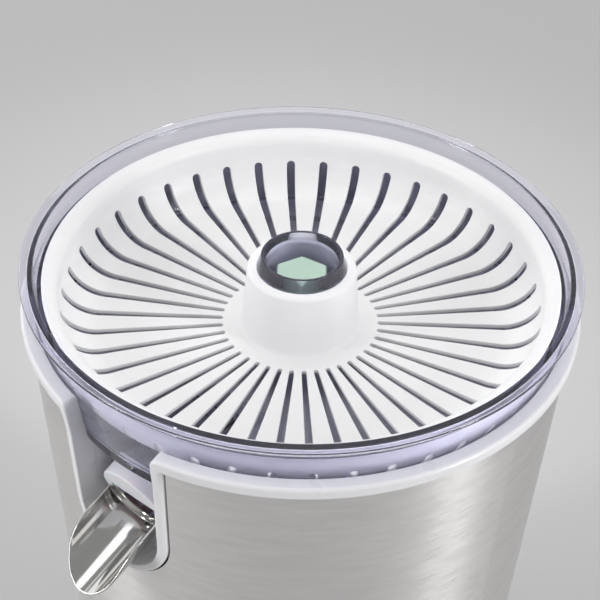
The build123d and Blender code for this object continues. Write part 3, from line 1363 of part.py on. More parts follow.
inlet_front = cone_radius(INLET_Z) + 0.8
INLET_BACK = 78.0
INLET_FLANGE = 3.2
FLANGE_ROUND = 1.0
FLANGE_CIRCLE = 9.0
INLET_CLAMP = 8.5
CLAMP_LENGTH = 3.0

with BuildPart() as cable_inlet:
    with BuildSketch(Plane.XZ.offset(-inlet_front - INLET_FLANGE)):
        with Locations((0, INLET_Z)):
            Circle(FLANGE_CIRCLE)
    extrude(amount=INLET_FLANGE)
    fillet(edges().group_by(Axis.Y)[-1], FLANGE_ROUND)
    with BuildSketch(Plane.XZ.offset(-inlet_front)):
        with Locations((0, INLET_Z)):
            Circle(INLET_BODY)
    extrude(amount=inlet_front - INLET_BACK)
    with BuildSketch(Plane.XZ.offset(-INLET_BACK - 2 * CLAMP_LENGTH)):
        with Locations((0, INLET_Z)):
            Circle(INLET_CLAMP)
    extrude(amount=CLAMP_LENGTH)
    with BuildSketch(Plane.XZ.offset(-inlet_front - INLET_FLANGE)):
        with Locations((0, INLET_Z)):
            Circle(CORD_RADIUS)
    extrude(amount=inlet_front + INLET_FLANGE - INLET_BACK, mode=Mode.SUBTRACT)
save(cable_inlet, "cable_inlet")
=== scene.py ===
import json
from math import acos, asin, ceil, cos, pi, radians, sin, sqrt, tan

import bmesh
import bpy
from mathutils import Matrix, Vector


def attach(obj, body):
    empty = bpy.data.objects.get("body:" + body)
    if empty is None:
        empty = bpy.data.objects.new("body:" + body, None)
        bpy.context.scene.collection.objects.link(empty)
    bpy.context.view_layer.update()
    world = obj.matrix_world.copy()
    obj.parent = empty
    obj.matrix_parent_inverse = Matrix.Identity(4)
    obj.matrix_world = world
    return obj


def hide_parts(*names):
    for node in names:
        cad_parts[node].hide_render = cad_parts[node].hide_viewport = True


# Citrus press juicer. The CAD frame is loaded first; the pieces below are built round the same axis
# (Z up, the spout towards -Y). Sizes are in millimetres and become metres when a mesh is made.
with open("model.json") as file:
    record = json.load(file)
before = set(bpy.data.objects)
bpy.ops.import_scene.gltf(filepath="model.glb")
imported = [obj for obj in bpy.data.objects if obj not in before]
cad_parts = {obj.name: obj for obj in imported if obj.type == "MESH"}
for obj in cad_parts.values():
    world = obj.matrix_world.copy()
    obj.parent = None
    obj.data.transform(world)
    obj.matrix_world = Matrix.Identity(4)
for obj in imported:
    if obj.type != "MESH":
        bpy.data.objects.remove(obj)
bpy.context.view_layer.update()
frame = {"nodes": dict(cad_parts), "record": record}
MM = 0.001


# ---------------------------------------------------------------- sizes shared by the pieces
RIM = 290.0
SPOUT_SLOPE = radians(21)
SPOUT_AXIS = Vector((0, -cos(SPOUT_SLOPE), -sin(SPOUT_SLOPE)))
SPOUT_START = Vector((0, -94.4, 227.7))
COLLAR_TOP = 272.8
COLLAR_FOOT = 267.9
HOUSING_RADIUS = 107.4      # of the steel housing at the collar's foot
HOUSING_FLARE = 0.08
SKIRT_RADIUS = 104          # of the bowl's skirt at the collar's top
SKIRT_FLARE = 0.175
HUB_TOP = 287.6
ARC_ERROR = 0.008           # how far a chord may lie from its arc
ROUND = 336                 # steps round the Z axis, a multiple of the slot count


def cone_radius(z):
    """Outside radius of the steel housing."""
    return HOUSING_RADIUS + HOUSING_FLARE * (z - COLLAR_FOOT)


def skirt_radius(z):
    """Outside radius of the bowl's skirt."""
    return SKIRT_RADIUS + SKIRT_FLARE * (z - COLLAR_TOP)


# ---------------------------------------------------------------- mesh helpers
def rounded(corners):
    """Closed outline through corners (x, y, radius), with each corner rounded to its radius."""
    points = []
    for i, (x, y, radius) in enumerate(corners):
        corner = Vector((x, y))
        before = Vector(corners[i - 1][:2]) - corner
        after = Vector(corners[(i + 1) % len(corners)][:2]) - corner
        if radius == 0:
            points.append((x, y))
            continue
        before.normalize()
        after.normalize()
        half = before.angle(after) / 2
        centre = corner + (before + after).normalized() * (radius / sin(half))
        first = corner + before * (radius / tan(half)) - centre
        last = corner + after * (radius / tan(half)) - centre
        turn = first.angle_signed(last)
        steps = max(2, ceil(abs(turn) / (2 * acos(1 - min(0.5, ARC_ERROR / radius)))))
        for step in range(steps + 1):
            arm = first.copy()
            arm.rotate(Matrix.Rotation(-turn * step / steps, 2))
            points.append(tuple(centre + arm))
    return points


def lathe(outline, steps=ROUND):
    """Vertices and faces of an outline (radius, height) turned about the Z axis."""
    count = len(outline)
    verts = []
    for step in range(steps):
        angle = 2 * pi * step / steps
        verts += [(r * cos(angle), r * sin(angle), z) for r, z in outline]
    faces = []
    for step in range(steps):
        here = step * count
        there = (step + 1) % steps * count
        for i in range(count):
            after = (i + 1) % count
            faces.append((here + i, there + i, there + after, here + after))
    return verts, faces


def tube_grid(loops, closed=False):
    """Vertices and faces of a skin over closed loops of equally many points, joined in order."""
    count = len(loops[0])
    verts = [tuple(p) for loop in loops for p in loop]
    faces = []
    for row in range(len(loops) if closed else len(loops) - 1):
        here = row * count
        there = (row + 1) % len(loops) * count
        for i in range(count):
            after = (i + 1) % count
            faces.append((here + i, here + after, there + after, there + i))
    return verts, faces


def prism(outline, start, end):
    """Vertices and faces of an outline (x, y) drawn along Z, closed at both ends."""
    verts, faces = tube_grid([[(x, y, z) for x, y in outline] for z in (start, end)])
    count = len(outline)
    return verts, faces + [tuple(range(count)), tuple(range(count, 2 * count))]


def placed(part, matrix):
    """The same vertices and faces, moved by a matrix."""
    verts, faces = part
    return [tuple(matrix @ Vector(v)) for v in verts], faces


def joined(*parts):
    """Vertices and faces of several parts in one list each."""
    verts, faces = [], []
    for more_verts, more_faces in parts:
        first = len(verts)
        verts += more_verts
        faces += [tuple(first + i for i in face) for face in more_faces]
    return verts, faces


def solid(name, part):
    """A mesh object in metres from vertices and faces in millimetres, welded and smooth."""
    verts, faces = part
    mesh = bpy.data.meshes.new(name)
    mesh.from_pydata([Vector(v) * MM for v in verts], [], faces)
    bm = bmesh.new()
    bm.from_mesh(mesh)
    bmesh.ops.remove_doubles(bm, verts=bm.verts, dist=2e-6)
    bmesh.ops.recalc_face_normals(bm, faces=bm.faces)
    for face in bm.faces:
        face.smooth = True
    bm.to_mesh(mesh)
    bm.free()
    obj = bpy.data.objects.new(name, mesh)
    bpy.context.scene.collection.objects.link(obj)
    return obj


def combine(obj, other, operation):
    """Adds or cuts another closed mesh, which is then removed."""
    modifier = obj.modifiers.new("combine", "BOOLEAN")
    modifier.object = other
    modifier.operation = operation
    modifier.solver = "EXACT"
    bpy.context.view_layer.update()
    shaped = bpy.data.meshes.new_from_object(obj.evaluated_get(bpy.context.evaluated_depsgraph_get()))
    obj.modifiers.clear()
    obj.data = shaped
    bpy.data.objects.remove(other)


def finish_normals(obj, sharp_angle):
    """Smooth faces, with edges past sharp_angle (degrees) sharp, and normals weighted by face area."""
    bm = bmesh.new()
    bm.from_mesh(obj.data)
    for face in bm.faces:
        face.smooth = True
    for edge in bm.edges:
        edge.smooth = len(edge.link_faces) != 2 or edge.calc_face_angle() < radians(sharp_angle)
    bm.to_mesh(obj.data)
    bm.free()
    modifier = obj.modifiers.new("normals", "WEIGHTED_NORMAL")
    modifier.keep_sharp = True
    modifier.weight = 100


def stand_for(obj, node, body, slot):
    """obj takes the place of a CAD node, rides its body and has the finish of a material slot."""
    obj.data.materials.clear()
    obj.data.materials.append(finishes[slot])
    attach(obj, body)
    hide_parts(node)


# ---------------------------------------------------------------- materials
def tone(red, green, blue):
    """Linear colour from display values 0 to 255."""
    values = [c / 255 for c in (red, green, blue)]
    return tuple(c / 12.92 if c <= 0.04045 else ((c + 0.055) / 1.055) ** 2.4 for c in values) + (1,)


class Material:
    """A Principled material with helpers for its procedural detail, in object space."""

    def __init__(self, name, colour, roughness, **sockets):
        self.data = bpy.data.materials.new(name)
        self.data.use_nodes = True
        self.tree = self.data.node_tree
        self.shader = next(n for n in self.tree.nodes if n.type == "BSDF_PRINCIPLED")
        self.place = self.tree.nodes.new("ShaderNodeTexCoord").outputs["Object"]
        self.colour = colour
        self.set("Base Color", colour)
        self.set("Roughness", roughness)
        for socket, value in sockets.items():
            self.set(socket.replace("_", " "), value)

    def set(self, socket, value):
        self.shader.inputs[socket].default_value = value

    def node(self, kind, **inputs):
        node = self.tree.nodes.new("ShaderNode" + kind)
        for name, value in inputs.items():
            socket = node.inputs[name.replace("_", " ")]
            if isinstance(value, bpy.types.NodeSocket):
                self.tree.links.new(value, socket)
            else:
                socket.default_value = value
        return node

    def math(self, operation, first, second, third=None):
        """The result of a Math node over values or other nodes' results."""
        node = self.tree.nodes.new("ShaderNodeMath")
        node.operation = operation
        for socket, value in zip(node.inputs, (first, second, third)):
            if isinstance(value, bpy.types.NodeSocket):
                self.tree.links.new(value, socket)
            elif value is not None:
                socket.default_value = value
        return node.outputs[0]

    def noise(self, size, detail=2, stretch=(1, 1, 1)):
        """Noise whose grains are `size` metres across, and `stretch` times longer along each axis."""
        scale = tuple(1 / (size * s) for s in stretch)
        place = self.node("Mapping", Vector=self.place, Scale=scale).outputs["Vector"]
        return self.node("TexNoise", Vector=place, Scale=1, Detail=detail, Roughness=0.55).outputs["Fac"]

    def between(self, factor, low, high):
        """A value that runs from low to high over the middle of a noise."""
        node = self.node("MapRange", Value=factor, From_Min=0.3, From_Max=0.7, To_Min=low, To_Max=high)
        return node.outputs["Result"]

    def vary_colour(self, factor, amount):
        """Base colour made lighter and darker by `amount` of itself."""
        node = self.tree.nodes.new("ShaderNodeMix")
        node.data_type = "RGBA"
        self.tree.links.new(self.between(factor, 0, 1), node.inputs[0])
        node.inputs[6].default_value = tuple(c * (1 - amount) for c in self.colour[:3]) + (1,)
        node.inputs[7].default_value = tuple(min(1, c * (1 + amount)) for c in self.colour[:3]) + (1,)
        self.tree.links.new(node.outputs[2], self.shader.inputs["Base Color"])

    def vary_roughness(self, factor, low, high):
        """Roughness that follows a noise from low to high."""
        self.tree.links.new(self.between(factor, low, high), self.shader.inputs["Roughness"])

    def bump(self, height, depth, strength=1.0):
        """Bump of `depth` metres from a height between 0 and 1."""
        node = self.node("Bump", Strength=strength, Distance=depth, Height=height)
        self.tree.links.new(node.outputs["Normal"], self.shader.inputs["Normal"])


def moulded(name, colour, roughness, grain=0.0004, depth=0.000006, **sockets):
    """Moulded plastic or rubber: faint mottling, uneven gloss and a fine grain."""
    material = Material(name, colour, roughness, **sockets)
    material.vary_colour(material.noise(0.03), 0.012)
    material.vary_roughness(material.noise(0.012, 3), roughness * 0.88, min(1, roughness * 1.12))
    material.bump(material.noise(grain, 3), depth, 0.6)
    return material.data


def machined(name, colour, roughness, stretch=(1, 1, 1), **sockets):
    """Bare or plated metal with fine tool marks."""
    material = Material(name, colour, roughness, Metallic=1.0, **sockets)
    marks = material.noise(0.0006, 3, stretch)
    material.vary_colour(material.noise(0.02), 0.05)
    material.vary_roughness(marks, roughness * 0.8, min(1, roughness * 1.25))
    material.bump(marks, 0.000008, 0.5)
    return material.data


def brushed_steel():
    """Sheet brushed round the housing: streaks that are long round the axis and fine up it."""
    material = Material("brushed steel", (0.80, 0.79, 0.775, 1), 0.3, Metallic=1.0, Anisotropic=0.8)
    material.set("Anisotropic Rotation", 0.25)
    tangent = material.node("Tangent")
    tangent.direction_type = "RADIAL"
    tangent.axis = "Z"
    material.tree.links.new(tangent.outputs["Tangent"], material.shader.inputs["Tangent"])
    apart = material.node("SeparateXYZ", Vector=material.place).outputs
    angle = material.math("ARCTAN2", apart["X"], material.math("MULTIPLY", apart["Y"], -1.0))
    along = material.math("MULTIPLY", angle, 0.105)    # metres round the housing, seam at the back
    material.place = material.node("CombineXYZ", X=along, Z=apart["Z"]).outputs["Vector"]
    streaks = material.noise(0.00045, 4, (30, 1, 1))
    patches = material.noise(0.004, 3, (7, 1, 1))
    both = material.math("MULTIPLY_ADD", streaks, 0.45, material.math("MULTIPLY", patches, 0.55))
    material.vary_colour(both, 0.08)
    material.vary_roughness(streaks, 0.27, 0.40)
    material.bump(streaks, 0.000006, 0.25)
    return material.data


def polished_steel():
    """Mirror-like sheet with faint unevenness."""
    material = Material("polished steel", (0.60, 0.595, 0.58, 1), 0.1, Metallic=1.0)
    material.vary_roughness(material.noise(0.004, 3), 0.08, 0.13)
    material.bump(material.noise(0.0025, 2), 0.000004, 0.25)
    return material.data


def tinted_clear():
    """Polished clear plastic with a blue-violet tint that shows where it is looked at edge on."""
    material = Material("tinted clear", (0.88, 0.88, 0.95, 1), 0.03, Transmission_Weight=0.97, IOR=1.45)
    material.vary_roughness(material.noise(0.01, 2), 0.02, 0.045)
    material.bump(material.noise(0.012, 2), 0.00001, 0.12)
    tree = material.tree
    inside = material.node("VolumeAbsorption", Color=(0.36, 0.34, 0.66, 1), Density=22.0)
    output = next(n for n in tree.nodes if n.type == "OUTPUT_MATERIAL")
    tree.links.new(inside.outputs["Volume"], output.inputs["Volume"])
    clear = tree.nodes.new("ShaderNodeBsdfTransparent")
    clear.inputs["Color"].default_value = (0.74, 0.74, 0.78, 1)
    mix = tree.nodes.new("ShaderNodeMixShader")
    rays = tree.nodes.new("ShaderNodeLightPath")
    tree.links.new(rays.outputs["Is Shadow Ray"], mix.inputs[0])
    tree.links.new(material.shader.outputs[0], mix.inputs[1])
    tree.links.new(clear.outputs[0], mix.inputs[2])
    tree.links.new(mix.outputs[0], output.inputs["Surface"])
    return material.data


WHITE = (0.80, 0.80, 0.815, 1)
finishes = {
    "brushed_steel": brushed_steel(),
    "polished_steel": polished_steel(),
    "tinted_clear": tinted_clear(),
    "white_gloss": moulded("white gloss plastic", WHITE, 0.3),
    "white_satin": moulded("white satin plastic", (0.885, 0.885, 0.89, 1), 0.42),
    "frosted_white": moulded(
        "frosted plastic", (0.78, 0.78, 0.82, 1), 0.5, Subsurface_Weight=0.35, Subsurface_Scale=0.004
    ),
    "mint_plastic": moulded("mint plastic", tone(183, 210, 192), 0.38),
    "black_rubber": moulded("black rubber", (0.025, 0.025, 0.026, 1), 0.7, 0.0005, 0.00002),
    "grey_rubber": moulded("grey rubber", (0.13, 0.13, 0.13, 1), 0.75, 0.0005, 0.00002),
    "zinc_steel": machined("zinc-plated steel", (0.62, 0.63, 0.64, 1), 0.3),
    "grey_nylon": moulded("grey glass-filled nylon", (0.11, 0.115, 0.125, 1), 0.6, 0.0008, 0.00002),
    "natural_nylon": moulded("natural nylon", (0.72, 0.69, 0.60, 1), 0.45),
    "bronze": machined("sintered bronze", (0.50, 0.31, 0.13, 1), 0.45),
    "lamination": machined("stacked lamination", (0.22, 0.22, 0.24, 1), 0.5, (60, 60, 1)),
    "copper": machined("enamelled copper", (0.62, 0.23, 0.09, 1), 0.35, (1, 1, 8)),
    "cast_aluminium": machined("cast aluminium", (0.58, 0.58, 0.59, 1), 0.55),
    "carbon": moulded("pressed carbon", (0.03, 0.03, 0.032, 1), 0.6),
    "black_plastic": moulded("black plastic", (0.02, 0.02, 0.022, 1), 0.45),
    "board_green": moulded("circuit board", (0.015, 0.12, 0.045, 1), 0.4),
    "capacitor_yellow": moulded("capacitor case", (0.60, 0.42, 0.03, 1), 0.4),
}
node_slots = {piece["node"]: piece["material_slot"] for piece in frame["record"]["subparts"]}
for node, slot in node_slots.items():
    obj = frame["nodes"][node]
    for place in obj.material_slots:
        place.material = finishes[slot]


# ---------------------------------------------------------------- strainer
DISH_FLOOR = 260.2
DISH_TOP = 284.6
DISH_LEDGE = 282.6          # underside of the dish's edge, on the bowl's ledge
DISH_EDGE = 101.6
DISH_WALL = 2.0
BEND_START = 80.0
BEND_RADIUS = 15.6
HUB_BORE = 17.8
HUB_TOP_RADIUS = 21.4
HUB_FOOT_RADIUS = 23.5
SLOTS = 42
SLOT_RISE = 9.55            # height of the slots' outer ends over the floor
SLOT_ROOT_HALF = 0.95       # half a slot's width at the hub's end and at the outer end
SLOT_TIP_HALF = 1.75
SLOT_FIRST = radians(-90 + 0.9)
SLOT_INNER = 31.85          # where each slot's centre line starts and ends, along the dish
SLOT_OUTER = BEND_START + BEND_RADIUS * acos(1 - SLOT_RISE / BEND_RADIUS)
PATCH_INNER = 27.5          # from here to PATCH_OUTER the dish is made of one sector for each slot
PATCH_OUTER = SLOT_OUTER + 3.2
EDGE_ROUND = 0.35           # rounding of the slots' edges
END_STEPS = 8               # steps round a slot's end, and across one sector
ARC_STEPS = 18
FLAT_STEPS = 9


def open_rounded(corners):
    """The points of rounded() for an outline that stays open between its last and its first corner."""
    first, last = corners[0][:2], corners[-1][:2]
    return rounded([(*first, 0)] + list(corners[1:-1]) + [(*last, 0)])


def open_lathe(outline, start):
    """An open outline turned about the Z axis from an angle."""
    verts = []
    for step in range(ROUND):
        angle = start + 2 * pi * step / ROUND
        verts += [(r * cos(angle), r * sin(angle), z) for r, z in outline]
    faces = []
    count = len(outline)
    for step in range(ROUND):
        here = step * count
        there = (step + 1) % ROUND * count
        faces += [(here + i, there + i, there + i + 1, here + i + 1) for i in range(count - 1)]
    return verts, faces


def dish_point(along, depth):
    """Radius and height of a point `along` the dish's floor and bend and `depth` under its surface."""
    bend = max(0, along - BEND_START) / BEND_RADIUS
    radius = min(along, BEND_START) + (BEND_RADIUS + depth) * sin(bend)
    height = DISH_FLOOR + BEND_RADIUS - (BEND_RADIUS + depth) * cos(bend)
    return radius, height


def slot_half(along):
    """Half the slot's width, which grows evenly with the distance from the axis."""
    inner, outer, here = (dish_point(place, 0)[0] for place in (SLOT_INNER, SLOT_OUTER, along))
    return SLOT_ROOT_HALF + (SLOT_TIP_HALF - SLOT_ROOT_HALF) * (here - inner) / (outer - inner)


def slot_outline(wider):
    """Points (along, across) round a slot, `wider` than its real outline."""
    root, tip = SLOT_ROOT_HALF + wider, SLOT_TIP_HALF + wider
    flat = [SLOT_INNER + (BEND_START - SLOT_INNER) * i / FLAT_STEPS for i in range(FLAT_STEPS)]
    bend = [BEND_START + (SLOT_OUTER - BEND_START) * i / ARC_STEPS for i in range(ARC_STEPS + 1)]
    side = flat + bend
    points = []
    for i in range(END_STEPS):
        turn = pi * i / END_STEPS
        points.append((SLOT_INNER - root * sin(turn), root * cos(turn)))
    points += [(along, -slot_half(along) - wider) for along in side[:-1]]
    for i in range(END_STEPS):
        turn = pi * i / END_STEPS
        points.append((SLOT_OUTER + tip * sin(turn), -tip * cos(turn)))
    points += [(along, slot_half(along) + wider) for along in reversed(side[1:])]
    return points


def sector_outline():
    """Points (along, angle) round one slot's sector of the dish, in the order of slot_outline()."""
    half = pi / SLOTS
    points = [(PATCH_INNER, half - 2 * half * i / END_STEPS) for i in range(END_STEPS)]
    side = [along for along, _ in slot_outline(0)[END_STEPS:END_STEPS + FLAT_STEPS + ARC_STEPS]]
    side[0] = PATCH_INNER
    points += [(along, -half) for along in side]
    points += [(PATCH_OUTER, -half + 2 * half * i / END_STEPS) for i in range(END_STEPS)]
    points += [(PATCH_OUTER, half)]
    points += [(along, half) for along in reversed(side[1:])]
    return points


def on_dish(along, angle, depth, middle):
    """The point of the dish at this angle from a sector's middle."""
    radius, height = dish_point(along, depth)
    return radius * cos(middle + angle), radius * sin(middle + angle), height


def slot_sector(middle):
    """One sector of the dish: over the top from its edge, through the slot, and back below."""
    rings = []
    frame_points = sector_outline()

    def outline_angles(wider, depth):
        points = slot_outline(wider)
        return [(along, asin(across / dish_point(along, depth)[0])) for along, across in points]

    def land(depth, shares):
        inner = outline_angles(EDGE_ROUND, depth)
        for share in shares:
            rings.append([
                on_dish(a + (b - a) * share, c + (d - c) * share, depth, middle)
                for (a, c), (b, d) in zip(inner, frame_points)
            ])

    land(0, (1, 0.66, 0.33))
    turns = [radians(90) * i / 3 for i in range(4)]
    edge = [(EDGE_ROUND * (1 - sin(t)), EDGE_ROUND * (1 - cos(t))) for t in turns]
    walls = edge + [(wider, DISH_WALL - depth) for wider, depth in reversed(edge)]
    for wider, depth in walls:
        rings.append([on_dish(a, c, depth, middle) for a, c in outline_angles(wider, depth)])
    land(DISH_WALL, (0.33, 0.66, 1))
    return tube_grid(rings)


def bend_line(depth, steps=4):
    """Points of the bend from the slots' sector up to where it stands upright."""
    upright = BEND_START + BEND_RADIUS * pi / 2
    return [dish_point(PATCH_OUTER + (upright - PATCH_OUTER) * i / steps, depth) for i in range(steps)]


def make_strainer():
    """The dish: hub, one sector for each slot, and the upright rim with its edge."""
    start = SLOT_FIRST - pi / SLOTS
    hub = open_rounded([
        (PATCH_INNER, DISH_FLOOR, 0),
        (HUB_FOOT_RADIUS, DISH_FLOOR, 2.5),
        (HUB_TOP_RADIUS, HUB_TOP, 1.8),
        (HUB_BORE, HUB_TOP, 0.4),
        (HUB_BORE, HUB_TOP - DISH_WALL, 0.3),
        (HUB_TOP_RADIUS - DISH_WALL, HUB_TOP - DISH_WALL, 0.8),
        (HUB_FOOT_RADIUS - DISH_WALL, DISH_FLOOR - DISH_WALL, 0.8),
        (PATCH_INNER, DISH_FLOOR - DISH_WALL, 0),
    ])
    inside, outside = BEND_START + BEND_RADIUS, BEND_START + BEND_RADIUS + DISH_WALL
    upright = DISH_FLOOR + BEND_RADIUS
    lip = open_rounded([
        (inside, upright, 0),
        (inside, DISH_TOP, 5.2),
        (DISH_EDGE, DISH_TOP, 0.7),
        (DISH_EDGE, DISH_LEDGE, 0.3),
        (outside, DISH_LEDGE, 2.2),
        (outside, upright, 0),
    ])
    rim = bend_line(0) + lip + list(reversed(bend_line(DISH_WALL)))
    sectors = [slot_sector(SLOT_FIRST + 2 * pi * i / SLOTS) for i in range(SLOTS)]
    obj = solid("strainer_dish", joined(open_lathe(hub, start), open_lathe(rim, start), *sectors))
    finish_normals(obj, 80)
    stand_for(obj, "strainer", "strainer", "white_satin")


# ---------------------------------------------------------------- bowl, spout and ring
OUTLET_RADIUS = 14.6
OUTLET_BORE = 12.0
OUTLET_BACK = -49.0
OUTLET_END_WALL = 2.5
OUTLET_MOUTH = -26.0
OUTLET_FRONT = -3.0
BOWL_FLOOR = 251.4
MOUTH_CUT = 254.4           # top of the solid that cuts the outlet's mouth through the floor
BOWL_FOOT = 248.9
BOWL_WALL = 2.4
LEDGE_FOOT = 262.6          # the wall is thicker from here up to the ledge
FLANGE_RADIUS = 110
FLANGE_FOOT = 288.4
LEDGE_RADIUS = 100.3
CHIMNEY_BORE = 14
CHIMNEY_TOP = 292.8
CHIMNEY_TAPER = 285.8       # height where the bore starts to widen
CHIMNEY_ROOT = 17.5         # outside radii at the floor, at the hub's top and at the end
CHIMNEY_SHOULDER = 17.4
CHIMNEY_TIP = 16.1
CHIMNEY_TIP_BORE = 15.1
PAST = 1.0                  # how far the cuts run past the ring's plate and the spout's root
RING_RADIUS = 16.3
RING_LENGTH = 9.0
RING_BORE = 14.65
PIP = (9.5, 11)             # place of the small round pip on the ring's face
PIP_RADIUS = 1.1
PIP_HEIGHT = 0.2
SPOUT_ROOT = -16.0
SOCKET_RADIUS = 12.55
SPOUT_LIP = 0.2
ROOT_RADIUS = 12.5
TROUGH_RADIUS = 14.2
TROUGH_LENGTH = 37.7
TROUGH_SHEET = 1.0
TROUGH_CUT = radians(40)    # slope of the oblique end against the axis
CUT_BLEND = 25
SPOUT_CORNER = 0.35         # rounding of the sheet's rim
MIDDLE_BACK = 4             # the middle line ends this far from the root and from the tip
MIDDLE_FRONT = 10
RIM_STEPS = 110             # points on half of the rim
FILL_STEPS = 24             # loops between the middle line and the rim
NECK = (0.05, 0.3)          # where the root widens into the trough
RING_CHORD = 3.2            # height over which the ring's plate is closed

spout_up = SPOUT_AXIS.cross(Vector((1, 0, 0)))
to_spout = Matrix.Translation(SPOUT_START) @ Matrix(
    (Vector((1, 0, 0)), spout_up, SPOUT_AXIS)
).transposed().to_4x4()


def outlet_solid(radius, start, end, top, mouth=False):
    """Part of the outlet along the spout's axis, cut level at `top`.

    A mouth has straight sides above the axis.
    """
    steps = 96
    if mouth:
        angles = [pi + pi * i / steps for i in range(steps + 1)]
    else:
        angles = [2 * pi * i / steps for i in range(steps)]
    outline = [(radius * cos(a), radius * sin(a)) for a in angles]
    if mouth:
        outline += [(radius, 3 * radius), (-radius, 3 * radius)]
    obj = solid("outlet", placed(prism(outline, start, end), to_spout))
    bm = bmesh.new()
    bm.from_mesh(obj.data)
    everything = bm.verts[:] + bm.edges[:] + bm.faces[:]
    cut = bmesh.ops.bisect_plane(
        bm, geom=everything, plane_co=(0, 0, top * MM), plane_no=(0, 0, 1), clear_outer=True
    )
    rim = [e for e in cut["geom_cut"] if isinstance(e, bmesh.types.BMEdge)]
    if rim:
        bmesh.ops.contextual_create(bm, geom=rim)
    bmesh.ops.recalc_face_normals(bm, faces=bm.faces)
    bm.to_mesh(obj.data)
    bm.free()
    return obj


def make_bowl():
    """The turned bowl with its chimney, and the outlet channel that is joined on and cut out."""
    outline = rounded([
        (CHIMNEY_BORE, BOWL_FOOT, 0.4),
        (skirt_radius(BOWL_FOOT), BOWL_FOOT, 1.2),
        (skirt_radius(FLANGE_FOOT), FLANGE_FOOT, 0.6),
        (FLANGE_RADIUS, FLANGE_FOOT, 0.6),
        (FLANGE_RADIUS, RIM, 0.6),
        (skirt_radius(RIM) - BOWL_WALL, RIM, 0.5),
        (skirt_radius(DISH_LEDGE) - BOWL_WALL, DISH_LEDGE, 0.4),
        (LEDGE_RADIUS, DISH_LEDGE, 1.2),
        (skirt_radius(LEDGE_FOOT) - BOWL_WALL, LEDGE_FOOT, 8),
        (skirt_radius(BOWL_FLOOR) - BOWL_WALL, BOWL_FLOOR, 5),
        (CHIMNEY_ROOT, BOWL_FLOOR, 3),
        (CHIMNEY_SHOULDER, HUB_TOP, 6),
        (CHIMNEY_TIP, CHIMNEY_TOP, 0.35),
        (CHIMNEY_TIP_BORE, CHIMNEY_TOP, 0.35),
        (CHIMNEY_BORE, CHIMNEY_TAPER, 3),
    ])
    obj = solid("clear_bowl", lathe(outline))
    end_wall = OUTLET_BACK + OUTLET_END_WALL
    combine(obj, outlet_solid(OUTLET_RADIUS, OUTLET_BACK, OUTLET_FRONT, BOWL_FLOOR), "UNION")
    combine(obj, outlet_solid(OUTLET_RADIUS, OUTLET_BACK, OUTLET_MOUTH, BOWL_FLOOR, True), "UNION")
    combine(obj, outlet_solid(OUTLET_BORE, end_wall, PAST, BOWL_FLOOR), "DIFFERENCE")
    combine(obj, outlet_solid(OUTLET_BORE, end_wall, OUTLET_MOUTH, MOUTH_CUT, True), "DIFFERENCE")
    combine(obj, outlet_solid(SOCKET_RADIUS, SPOUT_ROOT - PAST, PAST, BOWL_FLOOR), "DIFFERENCE")
    finish_normals(obj, 40)
    stand_for(obj, "juice_bowl", "bowl", "tinted_clear")


def make_ring():
    """The ring over the outlet's end, with the plate that closes its upper part and the pip."""
    outline = rounded([
        (RING_RADIUS, -RING_LENGTH, 0.5),
        (RING_RADIUS, 0, 0.7),
        (0, 0, 0),
        (0, OUTLET_FRONT, 0),
        (RING_BORE, OUTLET_FRONT, 0),
        (RING_BORE, -RING_LENGTH, 0.3),
    ])
    obj = solid("frosted_ring", placed(lathe(outline, 144), to_spout))
    side = asin(RING_CHORD / SOCKET_RADIUS)
    steps = 60
    angles = [side - (pi + 2 * side) * i / steps for i in range(steps + 1)]
    outline = [(SOCKET_RADIUS * cos(a), SOCKET_RADIUS * sin(a)) for a in angles]
    opening = placed(prism(outline, OUTLET_FRONT - PAST, PAST), to_spout)
    combine(obj, solid("opening", opening), "DIFFERENCE")
    pip = lathe(rounded([
        (PIP_RADIUS, -0.5, 0), (PIP_RADIUS, PIP_HEIGHT, 0.12), (0, PIP_HEIGHT, 0), (0, -0.5, 0)
    ]), 32)
    combine(obj, solid("pip", placed(pip, to_spout @ Matrix.Translation((*PIP, 0)))), "UNION")
    finish_normals(obj, 40)
    stand_for(obj, "spout_ring", "bowl", "frosted_white")


